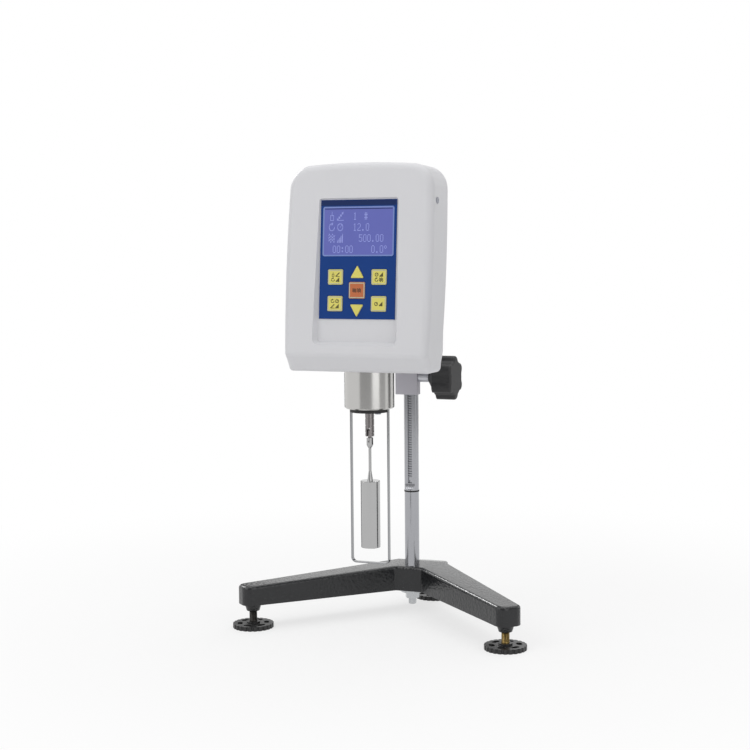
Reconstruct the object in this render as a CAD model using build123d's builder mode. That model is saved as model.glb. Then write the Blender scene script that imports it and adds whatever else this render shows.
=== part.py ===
from build123d import *
from math import cos, pi, radians, sin
import os

os.makedirs("parts", exist_ok=True)

# Bench viscometer with a rotating spindle.  Millimetres.
# +Z is up, -Y is the front with the display, +X is the side of the lift knob.
# The origin lies on the bench, at the centre of the part's bounding box.

# ---------------------------------------------------------------- stand
foot_half_spread = 132.0        # front feet, from the plane of symmetry
foot_forward = 110.0            # front feet, ahead of the column axis
foot_rearward = 72.0            # rear foot, behind the column axis
foot_disc_radius = 20.5
foot_disc_height = 4.5
foot_hub_radius = 6.8
foot_hub_height = 6.2
foot_sole = 1.5                 # plastic left below the stud
foot_slot_count = 6
foot_slot_length = 8.6
foot_slot_width = 5.2
foot_slot_circle = 13.4
foot_rim_notches = 24
foot_rim_notch_radius = 1.1
stud_radius = 4.0
stud_top = 31.0
stud_travel = 6.0
stud_lead = 1.25                # M8 thread
stud_groove_depth = 0.35

casting_bottom = 24.5
casting_crown = 50.0            # height of the top face at the column
casting_tip = 44.0              # height of the top face at the front feet
casting_rear = 40.5             # height of the top face at the rear foot
casting_wall = 5.5
casting_cavity_depth = 15.0
casting_edge = 3.2              # rounding along the upper edges
leg_half_width = 12.6           # at the tip
leg_tip_reach = 13.2            # casting beyond the foot's axis
leg_tip_corner = 9.5
leg_axis_angle = 46.9           # of a front leg, down from the X axis
shoulder_half_width = 21.0      # where the front legs meet the rear arm
shoulder_back = 37.0
shoulder_blend = 18.0
rear_slope_start = 25.0         # behind the column
saddle_half_width = 14.0        # flat face in front of the column
saddle_front = 11.6
saddle_corner = 7.0
foot_boss_bottom = 17.4
foot_boss_radius = 8.8
foot_boss_tip_radius = 6.6
foot_boss_web = 1.0             # cavity stays this far off the bosses
column_boss_radius = 15.5

# ---------------------------------------------------------------- column
column_radius = 7.5
column_seat = 28.0
column_top = 430.0
column_chamfer = 1.0
column_flat = 5.35              # the milled flat, from the axis
column_flat_start = 137.0
cutter_radius = 12.0            # run-out of the milled flat
ring_height = 127.9
ring_thickness = 1.5
ring_proud = 0.3
ring_depth = 0.9
bolt_radius = 4.0
bolt_end = 9.4
bolt_top = 40.0
bolt_chamfer = 0.6
washer_radius = 12.0
washer_thickness = 2.0
nut_across_flats = 13.0
nut_thickness = 6.5

# ---------------------------------------------------------------- rack lift
gear_module = 0.8
tooth_tip = 0.10                # half widths of a tooth, as shares of its pitch
tooth_middle = 0.215
tooth_foot = 0.30
rack_tooth_foot = 0.34
tooth_dedendum = 1.25           # times the module
pinion_teeth = 10
rack_width = 4.4
rack_back = 2.0                 # back of the rack, from the column axis
rack_tip = 5.2                  # tips of its teeth, from the column axis
rack_start = 140.0
rack_end_gap = 2.0
pinion_width = 4.0
pinion_drop = 16.3              # pinion axis below the foot of the head, at rest
pinion_shaft_radius = 2.5

tongue_half_width = 11.8
tongue_front = 15.0             # from the column axis
tongue_drop = 17.9              # end of the tongue below the pinion axis
block_half_width = 14.0
block_front = 19.5              # from the column axis: the head's rear wall
block_rear = 13.5
block_drop = 8.5                # block below the foot of the head
block_rise = 35.5               # block above the foot of the head
block_edge = 1.0
bush_radius = 5.1
bush_reach = 23.4
bush_chamfer = 0.5
tongue_wall = 2.0               # blind end of the pinion's bore
brake_radius = 3.0
brake_socket = 1.5
brake_socket_depth = 2.5
brake_rise = 21.5               # above the foot of the head

knob_back = 23.7
knob_rim_back = 31.5
knob_front = 52.0
knob_neck_radius = 6.2
knob_hollow_radius = 3.0        # between its lobes
knob_face_wall = 4.0            # left in front of the shaft
knob_root_radius = 18.6         # circle that carries the lobes
knob_lobe_radius = 6.2
knob_lobes = 6
knob_radius = 22.4
knob_edge = 2.6

# ---------------------------------------------------------------- head shell
spindle_reach = 121.0           # spindle axis, ahead of the column axis
head_reach = 162.5              # front crease of the head, ahead of the column axis
head_bottom = 264.5
crease_rise = 16.5              # front crease above the foot of the head
head_height = 197.5
face_tilt = 7.0                 # degrees, face leans back
cover_depth = 38.0              # face to parting plane
cover_wall = 2.5
cover_draft = 2.6               # the shell grows by this much from face to parting plane
face_half_width = 73.3
face_foot_half_width = 70.8
waist_share = 0.45              # of the height, where the sides are widest
shoulder_taper = 2.0            # the sides draw in by this much up to the shoulders
crown_drop = 3.6
face_corner = 23.0
foot_corner = 5.0
face_edge = 7.5                 # rounding round the face
chin_setback = 12.5             # the lower face runs back by this much
chin_cut_reach = 20.0           # the cutting profiles run clear of the shell
chin_cut_drop = 10.0
crease_loss = 0.315             # what the soft crease stands back from the sharp one
rear_half_width = 42.0
rear_height = 183.5
rear_corner = 18.0
rear_foot_corner = 14.0
rear_edge = 8.0
seam = 0.4

# ---------------------------------------------------------------- front panel
panel_foot_reach = 153.6        # panel's lower edge, ahead of the column axis
panel_foot_rise = 50.6          # panel's lower edge above the foot of the head
panel_tilt = 4.8
panel_width = 76.2
panel_height = 112.0
panel_thickness = 0.8
recess_margin = 1.0
recess_below = 21.5             # bare strip below the panel
recess_draft = 29.0
recess_corner = 2.5
recess_cut = 14.0
pan_margin = 7.4
window_width = 71.4
window_height = 46.6
window_gap_top = 6.4            # panel's top edge to window
window_rebate = 2.0
window_corner = 2.0
glass_thickness = 2.0
board_thickness = 1.6
lcd_board_margin = 8.0
key_column = 21.9               # centre of the outer keys
key_row_top = 39.4              # above the panel's lower edge
key_row_bottom = 14.4
key_centre_row = 27.0
key_width = 15.0
key_tall = 14.2
key_centre_width = 16.0
key_centre_tall = 15.4
key_corner = 1.2
arrow_half_width = 6.6
arrow_height = 11.6
arrow_top_row = 38.6            # base of the upper arrow
arrow_bottom_row = 13.6         # base of the lower arrow
key_thickness = 0.8
key_proud = 0.6
key_travel = 0.5
key_gap = 0.25
stem_radius = 2.0
stem_flange_radius = 2.8
stem_flange = 0.6
switch_size = 6.0
switch_height = 3.6
key_board_gap = 5.2             # back of the recess floor to the key board
key_board_height = 48.0
standoff_radius = 2.5
standoff_margin = 4.0

# ---------------------------------------------------------------- inside the head
chassis_thickness = 3.0
chassis_half_front = 65.0
chassis_half_rear = 27.5
chassis_front_gap = 6.0
flange_rise = 155.5             # above the foot of the head
arm_width = 12.0
arm_thickness = 2.0
arm_reach = 132.0               # centre of the side arms, ahead of the column axis
arm_end = 7.0                   # side arms beyond their screw
side_screw_rise = 160.5         # above the foot of the head
foot_screw_front = (45.0, 136.0)  # from the plane of symmetry, ahead of the column axis
foot_screw_rear = (26.0, 42.0)
main_board_half_width = 26.0
main_board_rise = 53.5          # above the foot of the head
main_board_height = 92.0
main_board_gap = 10.4
standoff_radius = 3.0
standoff_margin = 5.0           # from the board's edges
chip_width = 14.0
chip_length = 20.0
chip_spread = 12.0
chip_row = 22.0                 # above the board's middle
connector_width = 30.0
connector_height = 12.0
connector_row = -14.0
capacitor_radius = 4.5
capacitor_spacing = 14.0
capacitor_drop = 36.0
component_height = 4.0
gear_plate_rise = 39.5          # above the foot of the head
gear_plate_thickness = 4.0
gear_plate_half_width = 36.0
gear_plate_front = 137.0
gear_plate_rear = 62.0
pillar_radius = 4.0
pillar_half_spread = 31.0
pillar_front = 132.0
pillar_rear = 67.0
drive_teeth = 50
motor_teeth = 15
gear_width = 6.0
drive_gear_drop = 10.0          # below the gear plate
gear_hole_circle = 12.5
gear_hole_radius = 3.0
motor_radius = 21.0
motor_height = 38.0
motor_edge = 1.5
motor_shaft_radius = 2.5
motor_pilot_radius = 5.0
motor_bearing_depth = 12.0
motor_screw_spread = 15.0
drive_shaft_radius = 2.5
drive_shaft_end = 7.0           # above the underside of the gear plate
disc_radius = 22.0
disc_thickness = 0.8
disc_notch_width = 2.0
disc_notch_length = 4.0
disc_gap = 12.4                 # from the lower disc to the upper one
upper_disc_drop = 6.0           # below the drive gear
hub_radius = 6.0
hub_drop = 3.0                  # drive hub below the upper disc
spring_drop = 7.0               # below the upper disc
spring_width = 2.0
spring_thickness = 0.4
spring_inner = 3.4
spring_pitch = 1.5
spring_post_radius = 1.0
spring_turns = 6
sensor_half_depth = 4.0
sensor_post_near = 32.0
sensor_post_far = 36.0
sensor_finger_tip = 18.0
sensor_finger = 2.0
sensor_slot = 3.2
level_radius = 9.0
level_depth = 8.0
level_wall = 2.5
level_edge = 0.8
level_reach = 121.0
level_sink = 0.8                # below the crown of the head

# ---------------------------------------------------------------- lower housing and spindle
housing_radius = 24.0
housing_length = 36.5           # below the foot of the head
housing_chamfer = 1.2
housing_spigot_radius = 15.0
housing_bore = 6.0
housing_screw_circle = 11.5
bearing_radius = 8.0
bearing_width = 5.0
guard_ring_radius = 19.0
guard_ring_thickness = 3.6
guard_ring_bore = 7.0
guard_width = 4.5
guard_strip = 1.2
guard_length = 151.5            # below the housing
guard_corner = 4.5
guard_tab_corner = 0.7
guard_tab = 14.0                # inner end of the tabs under the housing
guard_seat = 0.6                # flat that the limb lies against
ring_screw_circle = 10.6
ring_screw_angle = -20.0
pivot_radius = 2.5
pivot_drop = 14.0               # below the housing
pivot_shoulder_rise = 3.9       # above the lower disc
pivot_tip_radius = 1.5
pivot_tip_gap = 1.5             # tip below the upper disc
sleeve_radius = 4.3
sleeve_gap = 5.0                # below the housing
sleeve_length = 22.5
sleeve_slot = 3.4
sleeve_slot_height = 8.5
sleeve_chamfer = 0.5
sleeve_grooves = (5.4, 12.4, 19.6)
sleeve_groove_width = 0.8
sleeve_groove_depth = 0.35
link_thickness = 2.8
link_pin_rise = 5.0             # upper pin above the end of the sleeve
link_length = 9.9               # between its pins
link_pin_radius = 0.75
link_end_radius = 1.6
spindle_head_radius = 3.2
spindle_head_taper = 1.5
spindle_head_rise = 3.6         # above its pin
spindle_head_drop = 5.1         # below its pin
spindle_neck = 1.5
spindle_slot_drop = 3.0         # below its pin
spindle_shaft_radius = 1.4
spindle_cone_radius = 2.75
spindle_cone_height = 9.5
spindle_radius = 9.42           # the standard cylinder of this class
spindle_length = 65.1
spindle_hang = 38.1             # cylinder below its pin
spindle_edge = 0.4

# ---------------------------------------------------------------- rear fittings
rear_fitting_rise = 35.5        # above the foot of the head
rear_fitting_offset = 27.0
jack_radius = 5.5
jack_flange_radius = 7.2
jack_flange = 1.6
jack_depth = 14.0
jack_bore = 3.2
jack_bore_depth = 9.0
jack_pin_radius = 1.0
switch_frame_width = 15.0
switch_frame_height = 21.0
switch_frame_flange = 1.8
switch_body_width = 12.6
switch_body_height = 18.6
switch_body_depth = 15.0
rocker_width = 9.0
rocker_length = 14.6
rocker_radius = 9.4
rocker_proud = 2.6

# ---------------------------------------------------------------- clearances and fasteners
running_fit = 0.05
sliding_fit = 0.05
seat_fit = 0.02
free_gap = 0.3
screw_radius = 1.5
screw_head_radius = 2.9
screw_head_height = 1.8
side_screw_proud = 0.8          # the head's dome stands out of the shell
screw_length = 8.0
screw_socket = 1.0
side_screw_length = 9.0
mount_screw_radius = 2.5
mount_screw_head_radius = 4.2
mount_screw_head = 4.0
mount_screw_socket = 2.0
mount_screw_depth = 9.0
mount_screw_half_spread = 8.5
mount_screw_rises = (12.5, 28.5)

head_top = head_bottom + head_height
rear_top = head_bottom + rear_height
crease_height = head_bottom + crease_rise
panel_foot_height = head_bottom + panel_foot_rise
block_bottom = head_bottom - block_drop
block_top = head_bottom + block_rise
brake_height = head_bottom + brake_rise
pinion_height = head_bottom - pinion_drop
tongue_bottom = pinion_height - tongue_drop
flange_top = head_bottom + flange_rise
side_screw_height = head_bottom + side_screw_rise
arm_top = side_screw_height + arm_end
main_board_middle = head_bottom + main_board_rise + main_board_height / 2
gear_plate_bottom = head_bottom + gear_plate_rise
drive_gear_bottom = gear_plate_bottom - drive_gear_drop
drive_shaft_top = gear_plate_bottom + drive_shaft_end
upper_disc_height = drive_gear_bottom - upper_disc_drop
lower_disc_height = upper_disc_height - disc_gap
spring_height = upper_disc_height - spring_drop
level_top = head_top - level_sink
housing_bottom = head_bottom - housing_length
guard_bottom = housing_bottom - guard_length
pivot_bottom = housing_bottom - pivot_drop
pivot_shoulder = lower_disc_height + pivot_shoulder_rise
pivot_top = upper_disc_height - pivot_tip_gap
sleeve_top = housing_bottom - sleeve_gap
sleeve_bottom = sleeve_top - sleeve_length
link_top_pin = sleeve_bottom + link_pin_rise
link_bottom_pin = link_top_pin - link_length
spindle_head_top = link_bottom_pin + spindle_head_rise
spindle_head_bottom = link_bottom_pin - spindle_head_drop
spindle_slot_floor = link_bottom_pin - spindle_slot_drop
spindle_top = link_bottom_pin - spindle_hang
spindle_cone_top = spindle_top + spindle_cone_height
rear_fitting_height = head_bottom + rear_fitting_rise
mount_screw_heights = [head_bottom + rise for rise in mount_screw_rises]

# The bounding box runs from the head's soft front crease to the rim of the rear foot.
column_y = (head_reach - crease_loss - foot_rearward - foot_disc_radius) / 2
spindle_y = column_y - spindle_reach
face_y = column_y - head_reach
rear_wall_y = column_y - block_front
mount_screw_places = [
    (side * mount_screw_half_spread, height) for side in (-1, 1) for height in mount_screw_heights
]
foot_places = {
    "front_left": (-foot_half_spread, column_y - foot_forward),
    "front_right": (foot_half_spread, column_y - foot_forward),
    "rear": (0.0, column_y + foot_rearward),
}


def level_plane(height, y=0.0, x=0.0):
    """Horizontal plane at a height, centred on (x, y)."""
    return Plane(origin=(x, y, height), z_dir=(0, 0, 1))


def side_plane(x, y, z):
    """Plane across X: its local x runs along +Y and its local y along +Z."""
    return Plane(origin=(x, y, z), x_dir=(0, 1, 0), z_dir=(1, 0, 0))


def front_plane(y, z=0.0, x=0.0):
    """Plane facing the front: its local x runs along +X and its local y along +Z."""
    return Plane(origin=(x, y, z), x_dir=(1, 0, 0), z_dir=(0, -1, 0))


def leaning_plane(y, z, tilt):
    """Plane facing the front that leans back by tilt degrees, through (0, y, z)."""
    lean = radians(tilt)
    return Plane(origin=(0, y, z), x_dir=(1, 0, 0), z_dir=(0, -cos(lean), sin(lean)))


def save(piece, label):
    """Label one finished piece and write it as its own file."""
    piece.part.label = label
    export_step(piece.part, f"parts/{label}.step")


# ================================================================ stand

leg_along = Vector(cos(radians(leg_axis_angle)), -sin(radians(leg_axis_angle)))
leg_across = Vector(-sin(radians(leg_axis_angle)), -cos(radians(leg_axis_angle)))
front_tip = Vector(foot_half_spread, -foot_forward) + leg_along * leg_tip_reach
right_outline = [
    (saddle_half_width, -saddle_front),
    tuple(front_tip + leg_across * leg_half_width)[:2],
    tuple(front_tip - leg_across * leg_half_width)[:2],
    (shoulder_half_width, shoulder_back),
    (leg_half_width, foot_rearward + leg_tip_reach),
]
left_outline = [(-x, y) for x, y in reversed(right_outline)]
outline_radii = [saddle_corner, leg_tip_corner, leg_tip_corner, shoulder_blend, leg_tip_corner]


def casting_outline():
    """Plan of the three-legged casting, with the column at its origin."""
    with BuildSketch() as plan:
        with BuildLine():
            Polyline(*right_outline, *left_outline, close=True)
        make_face()
        for (x, y), radius in zip(right_outline, outline_radii):
            pair = [v for v in plan.vertices() if abs(abs(v.X) - x) < 0.01 and abs(v.Y - y) < 0.01]
            fillet(pair, radius)
    return plan.sketch


def casting_top_rim(part):
    """Edges round the sloping top faces, without the creases between those faces."""
    tops = [face for face in part.faces() if face.normal_at().Z > 0.9]
    tops = [face for face in tops if face.center().Z > casting_rear]
    edges = [edge for face in tops for edge in face.edges()]
    return [edge for edge in edges if sum(edge.is_same(other) for other in edges) == 1]


with BuildPart() as base_casting:
    with BuildSketch(level_plane(casting_bottom, column_y)):
        add(casting_outline())
    extrude(amount=casting_crown - casting_bottom)
    slope_run = foot_half_spread - saddle_half_width
    slope = (casting_crown - casting_tip) / slope_run
    rear_run = foot_rearward - rear_slope_start
    rear_slope = (casting_crown - casting_rear) / rear_run
    with BuildSketch(front_plane(column_y)):
        for side in (1, -1):
            with BuildLine():
                Polyline(
                    (side * saddle_half_width, casting_crown),
                    (side * (saddle_half_width + 2 * slope_run), casting_crown - 2 * slope * slope_run),
                    (side * (saddle_half_width + 2 * slope_run), casting_crown + 1),
                    (side * saddle_half_width, casting_crown + 1),
                    close=True,
                )
            make_face()
    extrude(amount=2 * head_reach, both=True, mode=Mode.SUBTRACT)
    with BuildSketch(side_plane(0, column_y, 0)):
        with BuildLine():
            Polyline(
                (rear_slope_start, casting_crown),
                (rear_slope_start + 2 * rear_run, casting_crown - 2 * rear_slope * rear_run),
                (rear_slope_start + 2 * rear_run, casting_crown + 1),
                (rear_slope_start, casting_crown + 1),
                close=True,
            )
        make_face()
    extrude(amount=2 * foot_half_spread, both=True, mode=Mode.SUBTRACT)
    fillet(casting_top_rim(base_casting.part), casting_edge)
    with BuildSketch(level_plane(casting_bottom, column_y)):
        add(casting_outline())
        offset(amount=-casting_wall, mode=Mode.REPLACE)
        with Locations(*[(x, y - column_y) for x, y in foot_places.values()]):
            Circle(foot_boss_radius + foot_boss_web, mode=Mode.SUBTRACT)
        Circle(column_boss_radius, mode=Mode.SUBTRACT)
    extrude(amount=casting_cavity_depth - (casting_tip - casting_rear), mode=Mode.SUBTRACT)
    for x, y in foot_places.values():
        with BuildSketch(level_plane(foot_boss_bottom, y, x)):
            Circle(foot_boss_tip_radius)
        with BuildSketch(level_plane(casting_bottom, y, x)):
            Circle(foot_boss_radius)
        loft()
        with BuildSketch(level_plane(foot_boss_bottom, y, x)):
            Circle(stud_radius + running_fit)
        extrude(amount=stud_top + stud_travel + free_gap - foot_boss_bottom, mode=Mode.SUBTRACT)
    with BuildSketch(level_plane(column_seat, column_y)):
        Circle(column_radius + seat_fit)
    extrude(amount=casting_crown, mode=Mode.SUBTRACT)
    with BuildSketch(level_plane(casting_bottom, column_y)):
        Circle(bolt_radius + free_gap)
    extrude(amount=column_seat, mode=Mode.SUBTRACT)
save(base_casting, "base_casting")


# ---------------------------------------------------------------- column

with BuildPart() as column:
    with BuildSketch(level_plane(column_seat, column_y)):
        Circle(column_radius)
    extrude(amount=column_top - column_seat)
    chamfer(column.edges().group_by(Axis.Z)[-1], column_chamfer)
    with BuildSketch(side_plane(0, column_y, column_flat_start)):
        with Locations((-column_flat - cutter_radius, 0)):
            Circle(cutter_radius)
        with Locations((-column_flat, 0)):
            Rectangle(2 * cutter_radius, column_top, align=(Align.MAX, Align.MIN))
    extrude(amount=column_radius, both=True, mode=Mode.SUBTRACT)
    with BuildSketch(front_plane(column_y - rack_back)):
        with Locations((0, column_flat_start)):
            Rectangle(rack_width, column_top, align=(Align.CENTER, Align.MIN))
    extrude(amount=column_radius, mode=Mode.SUBTRACT)
    with BuildSketch(level_plane(ring_height, column_y)):
        Circle(column_radius + 1)
        Circle(column_radius - ring_depth, mode=Mode.SUBTRACT)
    extrude(amount=ring_thickness, mode=Mode.SUBTRACT)
    with BuildSketch(level_plane(column_seat, column_y)):
        Circle(bolt_radius + seat_fit)
    extrude(amount=bolt_top - column_seat, mode=Mode.SUBTRACT)
save(column, "column")

with BuildPart() as column_ring:
    with BuildSketch(level_plane(ring_height, column_y)):
        Circle(column_radius + ring_proud)
        Circle(column_radius - ring_depth, mode=Mode.SUBTRACT)
    extrude(amount=ring_thickness)
save(column_ring, "column_ring")

with BuildPart() as column_bolt:
    with BuildSketch(level_plane(bolt_end, column_y)):
        Circle(bolt_radius)
    extrude(amount=bolt_top - bolt_end)
    chamfer(column_bolt.edges().group_by(Axis.Z)[0], bolt_chamfer)
save(column_bolt, "column_bolt")

with BuildPart() as column_washer:
    with BuildSketch(level_plane(casting_bottom, column_y)):
        Circle(washer_radius)
        Circle(bolt_radius + free_gap, mode=Mode.SUBTRACT)
    extrude(amount=-washer_thickness)
save(column_washer, "column_washer")

with BuildPart() as column_nut:
    with BuildSketch(level_plane(casting_bottom - washer_thickness, column_y)):
        RegularPolygon(nut_across_flats / 2, 6, major_radius=False)
        Circle(bolt_radius + seat_fit, mode=Mode.SUBTRACT)
    extrude(amount=-nut_thickness)
save(column_nut, "column_nut")

rack_pitch = pi * gear_module
rack_root = rack_tip - (1 + tooth_dedendum) * gear_module
pinion_reach = rack_tip - gear_module + pinion_teeth * gear_module / 2
pinion_y = column_y - pinion_reach
tooth_half_tip = tooth_tip * rack_pitch
tooth_half_root = rack_tooth_foot * rack_pitch


def rack_teeth():
    """Zigzag of the rack's teeth, as (distance from the column axis, height) pairs."""
    first = pinion_height % rack_pitch + rack_pitch / 2
    teeth = []
    for index in range(int(column_top / rack_pitch)):
        centre = first + index * rack_pitch
        if rack_start + rack_pitch < centre < column_top - rack_end_gap - rack_pitch:
            teeth += [
                (-rack_root, centre - tooth_half_root),
                (-rack_tip, centre - tooth_half_tip),
                (-rack_tip, centre + tooth_half_tip),
                (-rack_root, centre + tooth_half_root),
            ]
    return teeth


with BuildPart() as rack_strip:
    with BuildSketch(side_plane(0, column_y, 0)):
        with BuildLine():
            Polyline(
                (-rack_back, rack_start), (-rack_root, rack_start), *rack_teeth(),
                (-rack_root, column_top - rack_end_gap), (-rack_back, column_top - rack_end_gap),
                close=True,
            )
        make_face()
    extrude(amount=rack_width / 2, both=True)
save(rack_strip, "rack_strip")

# ---------------------------------------------------------------- levelling feet

for place, (foot_x, foot_y) in foot_places.items():
    with BuildPart() as foot_disc:
        with BuildSketch(level_plane(0, foot_y, foot_x)):
            Circle(foot_disc_radius)
            with PolarLocations(foot_disc_radius, foot_rim_notches, start_angle=180 / foot_rim_notches):
                Circle(foot_rim_notch_radius, mode=Mode.SUBTRACT)
            with PolarLocations(foot_slot_circle, foot_slot_count, start_angle=180 / foot_slot_count):
                SlotOverall(foot_slot_length, foot_slot_width, rotation=90, mode=Mode.SUBTRACT)
        extrude(amount=foot_disc_height)
        with BuildSketch(level_plane(0, foot_y, foot_x)):
            Circle(foot_hub_radius)
        extrude(amount=foot_hub_height)
        with BuildSketch(level_plane(foot_sole, foot_y, foot_x)):
            Circle(stud_radius + running_fit)
        extrude(amount=foot_hub_height, mode=Mode.SUBTRACT)
    save(foot_disc, f"foot_disc_{place}")

    with BuildPart() as foot_stud:
        with BuildSketch(side_plane(foot_x, foot_y, 0)):
            with BuildLine():
                thread_start = foot_hub_height + 1
                thread_count = int((foot_boss_bottom + 2 * stud_travel - thread_start) / stud_lead)
                crests = []
                for turn in range(thread_count):
                    start = thread_start + turn * stud_lead
                    crests += [
                        (stud_radius, start),
                        (stud_radius - stud_groove_depth, start + stud_lead / 2),
                    ]
                Polyline(
                    (0, foot_sole), (stud_radius, foot_sole), *crests,
                    (stud_radius, thread_start + thread_count * stud_lead),
                    (stud_radius, stud_top), (0, stud_top), close=True,
                )
            make_face()
        revolve(axis=Axis((foot_x, foot_y, 0), (0, 0, 1)))
    save(foot_stud, f"foot_stud_{place}")

# ================================================================ rack lift

def toothed_wheel(teeth, module, first_tooth=90.0):
    """Gear outline with straight-sided teeth; one tooth points along first_tooth degrees."""
    pitch_radius = teeth * module / 2
    root_radius = pitch_radius - tooth_dedendum * module
    tip_radius = pitch_radius + module
    with BuildSketch() as outline:
        with BuildLine():
            points = []
            for tooth in range(teeth):
                middle = radians(first_tooth + 360 * tooth / teeth)
                half_root = tooth_foot * 2 * pi / teeth
                half_pitch = tooth_middle * 2 * pi / teeth
                half_tip = tooth_tip * 2 * pi / teeth
                for angle, radius in (
                    (middle - half_root, root_radius), (middle - half_pitch, pitch_radius),
                    (middle - half_tip, tip_radius), (middle + half_tip, tip_radius),
                    (middle + half_pitch, pitch_radius), (middle + half_root, root_radius),
                ):
                    points.append((radius * cos(angle), radius * sin(angle)))
            Polyline(*points, close=True)
        make_face()
    return outline.sketch


with BuildPart() as lift_block:
    with BuildSketch(level_plane(block_bottom, column_y)):
        with Locations((0, -block_front)):
            Rectangle(2 * block_half_width, block_front + block_rear, align=(Align.CENTER, Align.MIN))
    extrude(amount=block_top - block_bottom)
    chamfer(lift_block.edges().filter_by(Axis.Z), block_edge)
    with BuildSketch(level_plane(block_bottom, column_y)):
        Circle(column_radius + sliding_fit)
    extrude(amount=block_top, mode=Mode.SUBTRACT)
    with BuildSketch(level_plane(tongue_bottom, column_y)):
        with Locations((0, -tongue_front)):
            Rectangle(
                2 * tongue_half_width, tongue_front - column_flat - 2 * sliding_fit,
                align=(Align.CENTER, Align.MIN),
            )
    extrude(amount=block_bottom - tongue_bottom)
    with BuildSketch(side_plane(-pinion_width / 2 - 2 * free_gap, pinion_y, pinion_height)):
        Circle(bush_radius + seat_fit)
    extrude(amount=block_half_width + pinion_width, mode=Mode.SUBTRACT)
    with BuildSketch(side_plane(-tongue_half_width + tongue_wall, pinion_y, pinion_height)):
        Circle(pinion_shaft_radius + running_fit)
    extrude(amount=tongue_half_width, mode=Mode.SUBTRACT)
    with BuildSketch(front_plane(column_y + block_rear, brake_height)):
        Circle(brake_radius + seat_fit)
    extrude(amount=block_rear, mode=Mode.SUBTRACT)
    with BuildSketch(front_plane(column_y - block_front)):
        with Locations(*mount_screw_places):
            Circle(mount_screw_radius + seat_fit)
    extrude(amount=-mount_screw_depth, mode=Mode.SUBTRACT)
save(lift_block, "lift_block")

with BuildPart() as pinion_bush:
    with BuildSketch(side_plane(pinion_width / 2 + 2 * free_gap, pinion_y, pinion_height)):
        Circle(bush_radius)
        Circle(pinion_shaft_radius + running_fit, mode=Mode.SUBTRACT)
    extrude(amount=bush_reach - pinion_width / 2 - 2 * free_gap)
    with BuildSketch(front_plane(column_y - column_flat - 2 * sliding_fit, pinion_height)):
        Rectangle(2 * tongue_half_width, 4 * bush_radius)
    extrude(amount=-2 * bush_radius, mode=Mode.SUBTRACT)
    chamfer(pinion_bush.edges().group_by(Axis.X)[-1].sort_by(SortBy.LENGTH)[-1], bush_chamfer)
save(pinion_bush, "pinion_bush")

with BuildPart() as pinion_shaft:
    with BuildSketch(side_plane(-tongue_half_width + tongue_wall + free_gap, pinion_y, pinion_height)):
        Circle(pinion_shaft_radius)
    extrude(amount=knob_front - knob_face_wall + tongue_half_width - tongue_wall - free_gap)
    with BuildSketch(side_plane(-pinion_width / 2, pinion_y, pinion_height)):
        add(toothed_wheel(pinion_teeth, gear_module, 0))
    extrude(amount=pinion_width)
save(pinion_shaft, "pinion_shaft")

with BuildPart() as brake_screw:
    with BuildSketch(front_plane(column_y + block_rear, brake_height)):
        Circle(brake_radius)
    extrude(amount=block_rear - column_radius - running_fit)
    with BuildSketch(front_plane(column_y + block_rear, brake_height)):
        RegularPolygon(brake_socket, 6, major_radius=False)
    extrude(amount=brake_socket_depth, mode=Mode.SUBTRACT)
save(brake_screw, "brake_screw")

with BuildPart() as lift_knob:
    with BuildSketch(side_plane(knob_back, pinion_y, pinion_height)):
        Circle(knob_neck_radius)
    with BuildSketch(side_plane(knob_rim_back, pinion_y, pinion_height)):
        Circle(knob_root_radius)
    loft()
    with BuildSketch(side_plane(knob_rim_back, pinion_y, pinion_height)) as knob_plan:
        Circle(knob_root_radius)
        with PolarLocations(knob_radius - knob_lobe_radius, knob_lobes, start_angle=90):
            Circle(knob_lobe_radius)
        hollows = [v for v in knob_plan.vertices()]
        fillet(hollows, knob_hollow_radius)
    extrude(amount=knob_front - knob_rim_back)
    fillet(lift_knob.edges().group_by(Axis.X)[-1], knob_edge)
    with BuildSketch(side_plane(knob_back, pinion_y, pinion_height)):
        Circle(pinion_shaft_radius + seat_fit)
    extrude(amount=knob_front - knob_face_wall - knob_back, mode=Mode.SUBTRACT)
save(lift_knob, "lift_knob")


# ================================================================ head shell

lean = radians(face_tilt)
face_plane = leaning_plane(face_y, crease_height, face_tilt)
panel_plane = leaning_plane(column_y - panel_foot_reach, panel_foot_height, panel_tilt)
floor_plane = panel_plane.offset(-panel_thickness)
pan_back_plane = floor_plane.offset(-cover_wall)
chin_slope = chin_setback / (crease_height - head_bottom)


key_bottom = key_proud - key_thickness
window_middle = panel_height - window_gap_top - window_height / 2
key_layout = {
    "key_top_left": (-key_column, key_row_top, "square"),
    "key_top_right": (key_column, key_row_top, "square"),
    "key_up": (0, arrow_top_row + arrow_height / 2, "up"),
    "key_centre": (0, key_centre_row, "centre"),
    "key_bottom_left": (-key_column, key_row_bottom, "square"),
    "key_bottom_right": (key_column, key_row_bottom, "square"),
    "key_down": (0, arrow_bottom_row - arrow_height / 2, "down"),
}
standoff_grid = (
    2 * (main_board_half_width - standoff_margin), main_board_height - 2 * (standoff_margin + 1),
)
chip_places = [(-chip_spread, chip_row), (chip_spread, chip_row)]
connector_place = (0, connector_row)
sensor_top = upper_disc_height + disc_thickness / 2 + sensor_slot / 2 + sensor_finger
motor_y = spindle_y + (drive_teeth + motor_teeth) * gear_module / 2
pillar_places = [
    (side * pillar_half_spread, column_y - reach)
    for side in (-1, 1) for reach in (pillar_front, pillar_rear)
]
bearing_seats = [housing_bottom, head_bottom + cover_wall - bearing_width, gear_plate_bottom]
ring_screw_places = [
    (
        side * ring_screw_circle * cos(radians(ring_screw_angle)),
        side * ring_screw_circle * sin(radians(ring_screw_angle)),
    )
    for side in (-1, 1)
]
spring_outer = spring_inner + (spring_turns - 0.5) * spring_pitch
arm_y = column_y - arm_reach
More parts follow.
